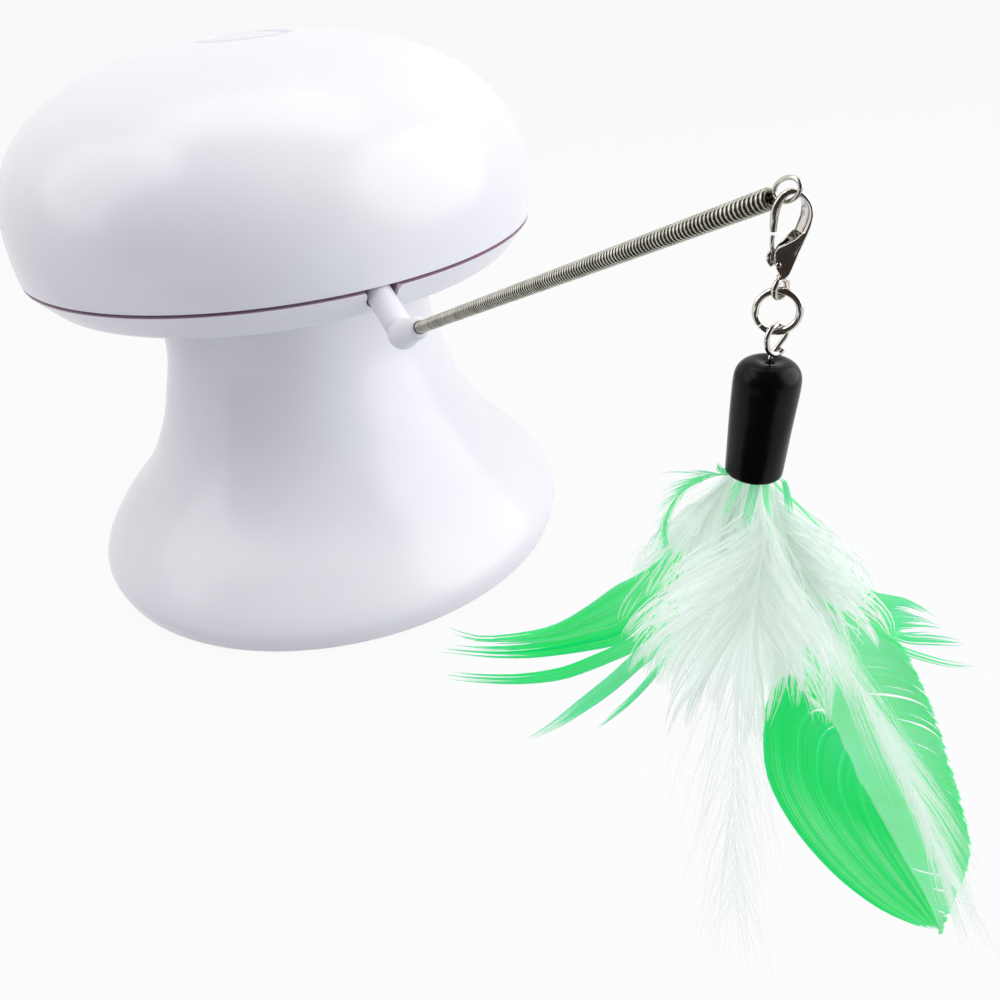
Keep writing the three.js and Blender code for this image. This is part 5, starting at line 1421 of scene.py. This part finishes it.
strandQuill = (0.3, 0.1)
strands = {  # each sheet: first line, last line, barbs, width, tone, how ragged the tips are
    "left_strands": {
        "node": "green_feather_3", "seed": 31,
        "rachis": [(-0.8, 0, -27), (-0.8, 0.4, -36), (-4, 2.6, -43), (-8, 2.6, -50), (-13, 0.6, -57)],
        "sheets": [
            (level((-8, -1.6, -48), -2, (-13.3, -53.7), (-16.4, -56.3), (-20.2, -60.6), (-24.6, -64.9),
                   (-29.2, -67.6), (-37.2, -70.2), (-42.6, -69.4)),
             level((-8, -1.6, -51), -2, (-13.0, -58.1), (-15.9, -62.8), (-20.0, -65.3), (-24.5, -67.7),
                   (-30.8, -69.8), (-37.2, -71.2), (-41.2, -71.4)),
             26, 0.62, 0.26, 0.3),
            ([(-8, -1.8, -51), (-13.0, -2.2, -58.1), (-15.9, -2.3, -62.4), (-20.0, -2.3, -65.2),
              (-24.5, -2.3, -67.7), (-30.8, -2.3, -70.2), (-37.2, -2.3, -72), (-41.2, -2.3, -72.6)],
             [(-8, -1.8, -54), (-12.7, -2.2, -62.7), (-15.7, -2.3, -66.5), (-19.8, -2.3, -68.6),
              (-25.2, -2.3, -70.8), (-30.7, -2.3, -72.6), (-37.3, -2.3, -73.8), (-44.0, -2.3, -74.4)],
             22, 0.54, 0.06, 0.25),
            (level((-8, -2, -55), -2.4, (-12.6, -63.6), (-16.1, -67.2), (-19.8, -70.2), (-24.3, -73.4),
                   (-30.7, -76.1), (-37.3, -77.6), (-43.9, -78.4)),
             level((-8, -2, -58), -2.4, (-12.4, -66.4), (-16.1, -69.7), (-19.7, -72.5), (-24.3, -75.5),
                   (-30.7, -77.8), (-37.4, -79.1), (-42.6, -79.6)),
             15, 0.46, 0.16, 0.12)]},
    "low_strands": {
        "node": "green_feather_4", "seed": 32,
        "rachis": [(-1.1, -1.9, -27), (-1.1, -1.7, -36), (-3.5, 2.2, -46), (-6, 1.2, -54), (-8, -1.6, -60)],
        "sheets": [
            (level((-7, -3, -56), -3, (-10.9, -64.3), (-12.8, -67), (-16.4, -72.5), (-20.8, -78.5),
                   (-25.4, -84.8), (-30.1, -90.3)),
             level((-6.6, -3, -58), -3, (-10, -67), (-12, -69.9), (-15.5, -75.2), (-19.2, -79.8),
                   (-23.8, -84.9), (-30.1, -90.4)),
             11, 0.44, 0.5, 0.2),
            (level((-6.6, -3.2, -62), -3.2, (-9.8, -69.4), (-11.2, -72.3), (-13.1, -75.9), (-15.7, -80),
                   (-17.9, -83.6)),
             level((-6, -3.2, -63), -3.2, (-9.2, -70), (-10.6, -73), (-12.5, -76.4), (-15.1, -80.3),
                   (-17.9, -83.7)),
             5, 0.32, 0.6, 0.15)]},
    "right_tips": {
        "node": "green_feather_2", "seed": 33,
        "rachis": [(2.1, 0.4, -27), (2.1, 0.4, -36), (7, 2.4, -42), (13, 4.5, -49), (18, 5, -56)],
        "sheets": [
            (level((13, 4.6, -49), 5, (18.3, -55.2), (20.6, -55.8), (23.2, -56.0), (26.1, -57.2),
                   (29.8, -59.6)),
             level((13, 4.6, -52), 5, (19.1, -59.9), (22.4, -62.6), (24.3, -61.9), (26.8, -61),
                   (29.8, -60.3)),
             26, 0.5, 0.62, 0.5),
            (level((14, 4.8, -54), 5.2, (20.8, -60.7), (24.5, -62.2), (27.8, -61.8), (30.4, -61.8),
                   (32.8, -62.1)),
             level((14, 4.8, -55), 5.2, (20.8, -61.9), (24.5, -63.6), (27.8, -63.3), (30.4, -62.8),
                   (32.8, -62.4)),
             8, 0.36, 0.66, 0.25),
            (level((14, 5, -57), 5.4, (21.3, -63.4), (25.0, -64.9), (28.6, -65.7), (32.0, -66.1),
                   (35.3, -65.9)),
             level((14, 5, -58), 5.4, (21.3, -64.4), (25.0, -66), (28.6, -66.7), (32.0, -66.9),
                   (35.3, -66.3)),
             7, 0.34, 0.66, 0.2)]},
}


def makeStrands(name, row):
    barbs = Barbs(row["seed"])
    barbs.quill(curve(row["rachis"], 50), np.linspace(*strandQuill, 51), 1.0)
    for sheet in row["sheets"]:
        addSheet(barbs, *sheet)
    barbs.build(name, "green_feather", row["node"])


for name, row in strands.items():
    makeStrands(name, row)

curl = {
    "stem": [(-2.1, -0.7, -27), (-2.1, -0.75, -35.0), (-3.1, -0.9, -36.3), (-5.0, -1.1, -36.6),
             (-7.6, -1.3, -38.1), (-9.7, -1.6, -41.1), (-10.6, -2, -44.7), (-10.2, -2.2, -49.0)],
    "seed": 34, "quill": (0.16, 0.04), "count": 170, "from": 0.34, "to": 0.98,
    "reach": (2.5, 7.0), "width": 0.09, "tone": (0.35, 0.95),
    "wisps": [  # short barbs that stand up beside the cap's mouth
        ([(-3.0, -0.9, -36.2), (-3.9, -1, -35.6), (-4.2, -1, -34.0)],
         [(-3.3, -0.9, -36.4), (-4.6, -1, -35.9), (-5.0, -1, -34.8)],
         6, 0.2, 0.45, 0.4)],
}


def makeCurl():
    barbs = Barbs(curl["seed"], beside=True)
    rng = barbs.rng
    stem = curve(curl["stem"], 70)
    barbs.quill(stem, np.linspace(*curl["quill"], 71), 0.6)
    for k in range(curl["count"]):
        start = curl["from"] + (curl["to"] - curl["from"]) * k / curl["count"]
        root = at(stem, start)
        ahead = unit(at(stem, min(start + 0.02, 1.0)) - at(stem, start - 0.02))
        later = unit(at(stem, min(start + 0.12, 1.0)) - at(stem, min(start + 0.1, 0.98)))
        out = unit(np.cross(ahead, (0, 1, 0)) * (1 if k % 3 else -1) + rng.normal(0, 0.4, 3))
        out = out * rng.uniform(0.08, 0.34)
        reach = rng.uniform(*curl["reach"])
        end = root + (ahead * 0.55 + later * 0.4 + out) * reach
        lead, draw = root + (ahead + out * 0.6) * reach * 0.33, end - (later + out * 0.3) * reach * 0.33
        path = bezier(root, lead, draw, end, 9)
        widths = curl["width"] * profile([(0, 0.7), (0.4, 1), (1, 0.1)], 9)
        barbs.strip(path, widths, np.array((0.5, 0.4, 0.8)), np.full(9, rng.uniform(*curl["tone"])))
    for row in curl["wisps"]:
        addSheet(barbs, *row)
    barbs.build("curl", "green_feather", "green_feather_5")


makeCurl()
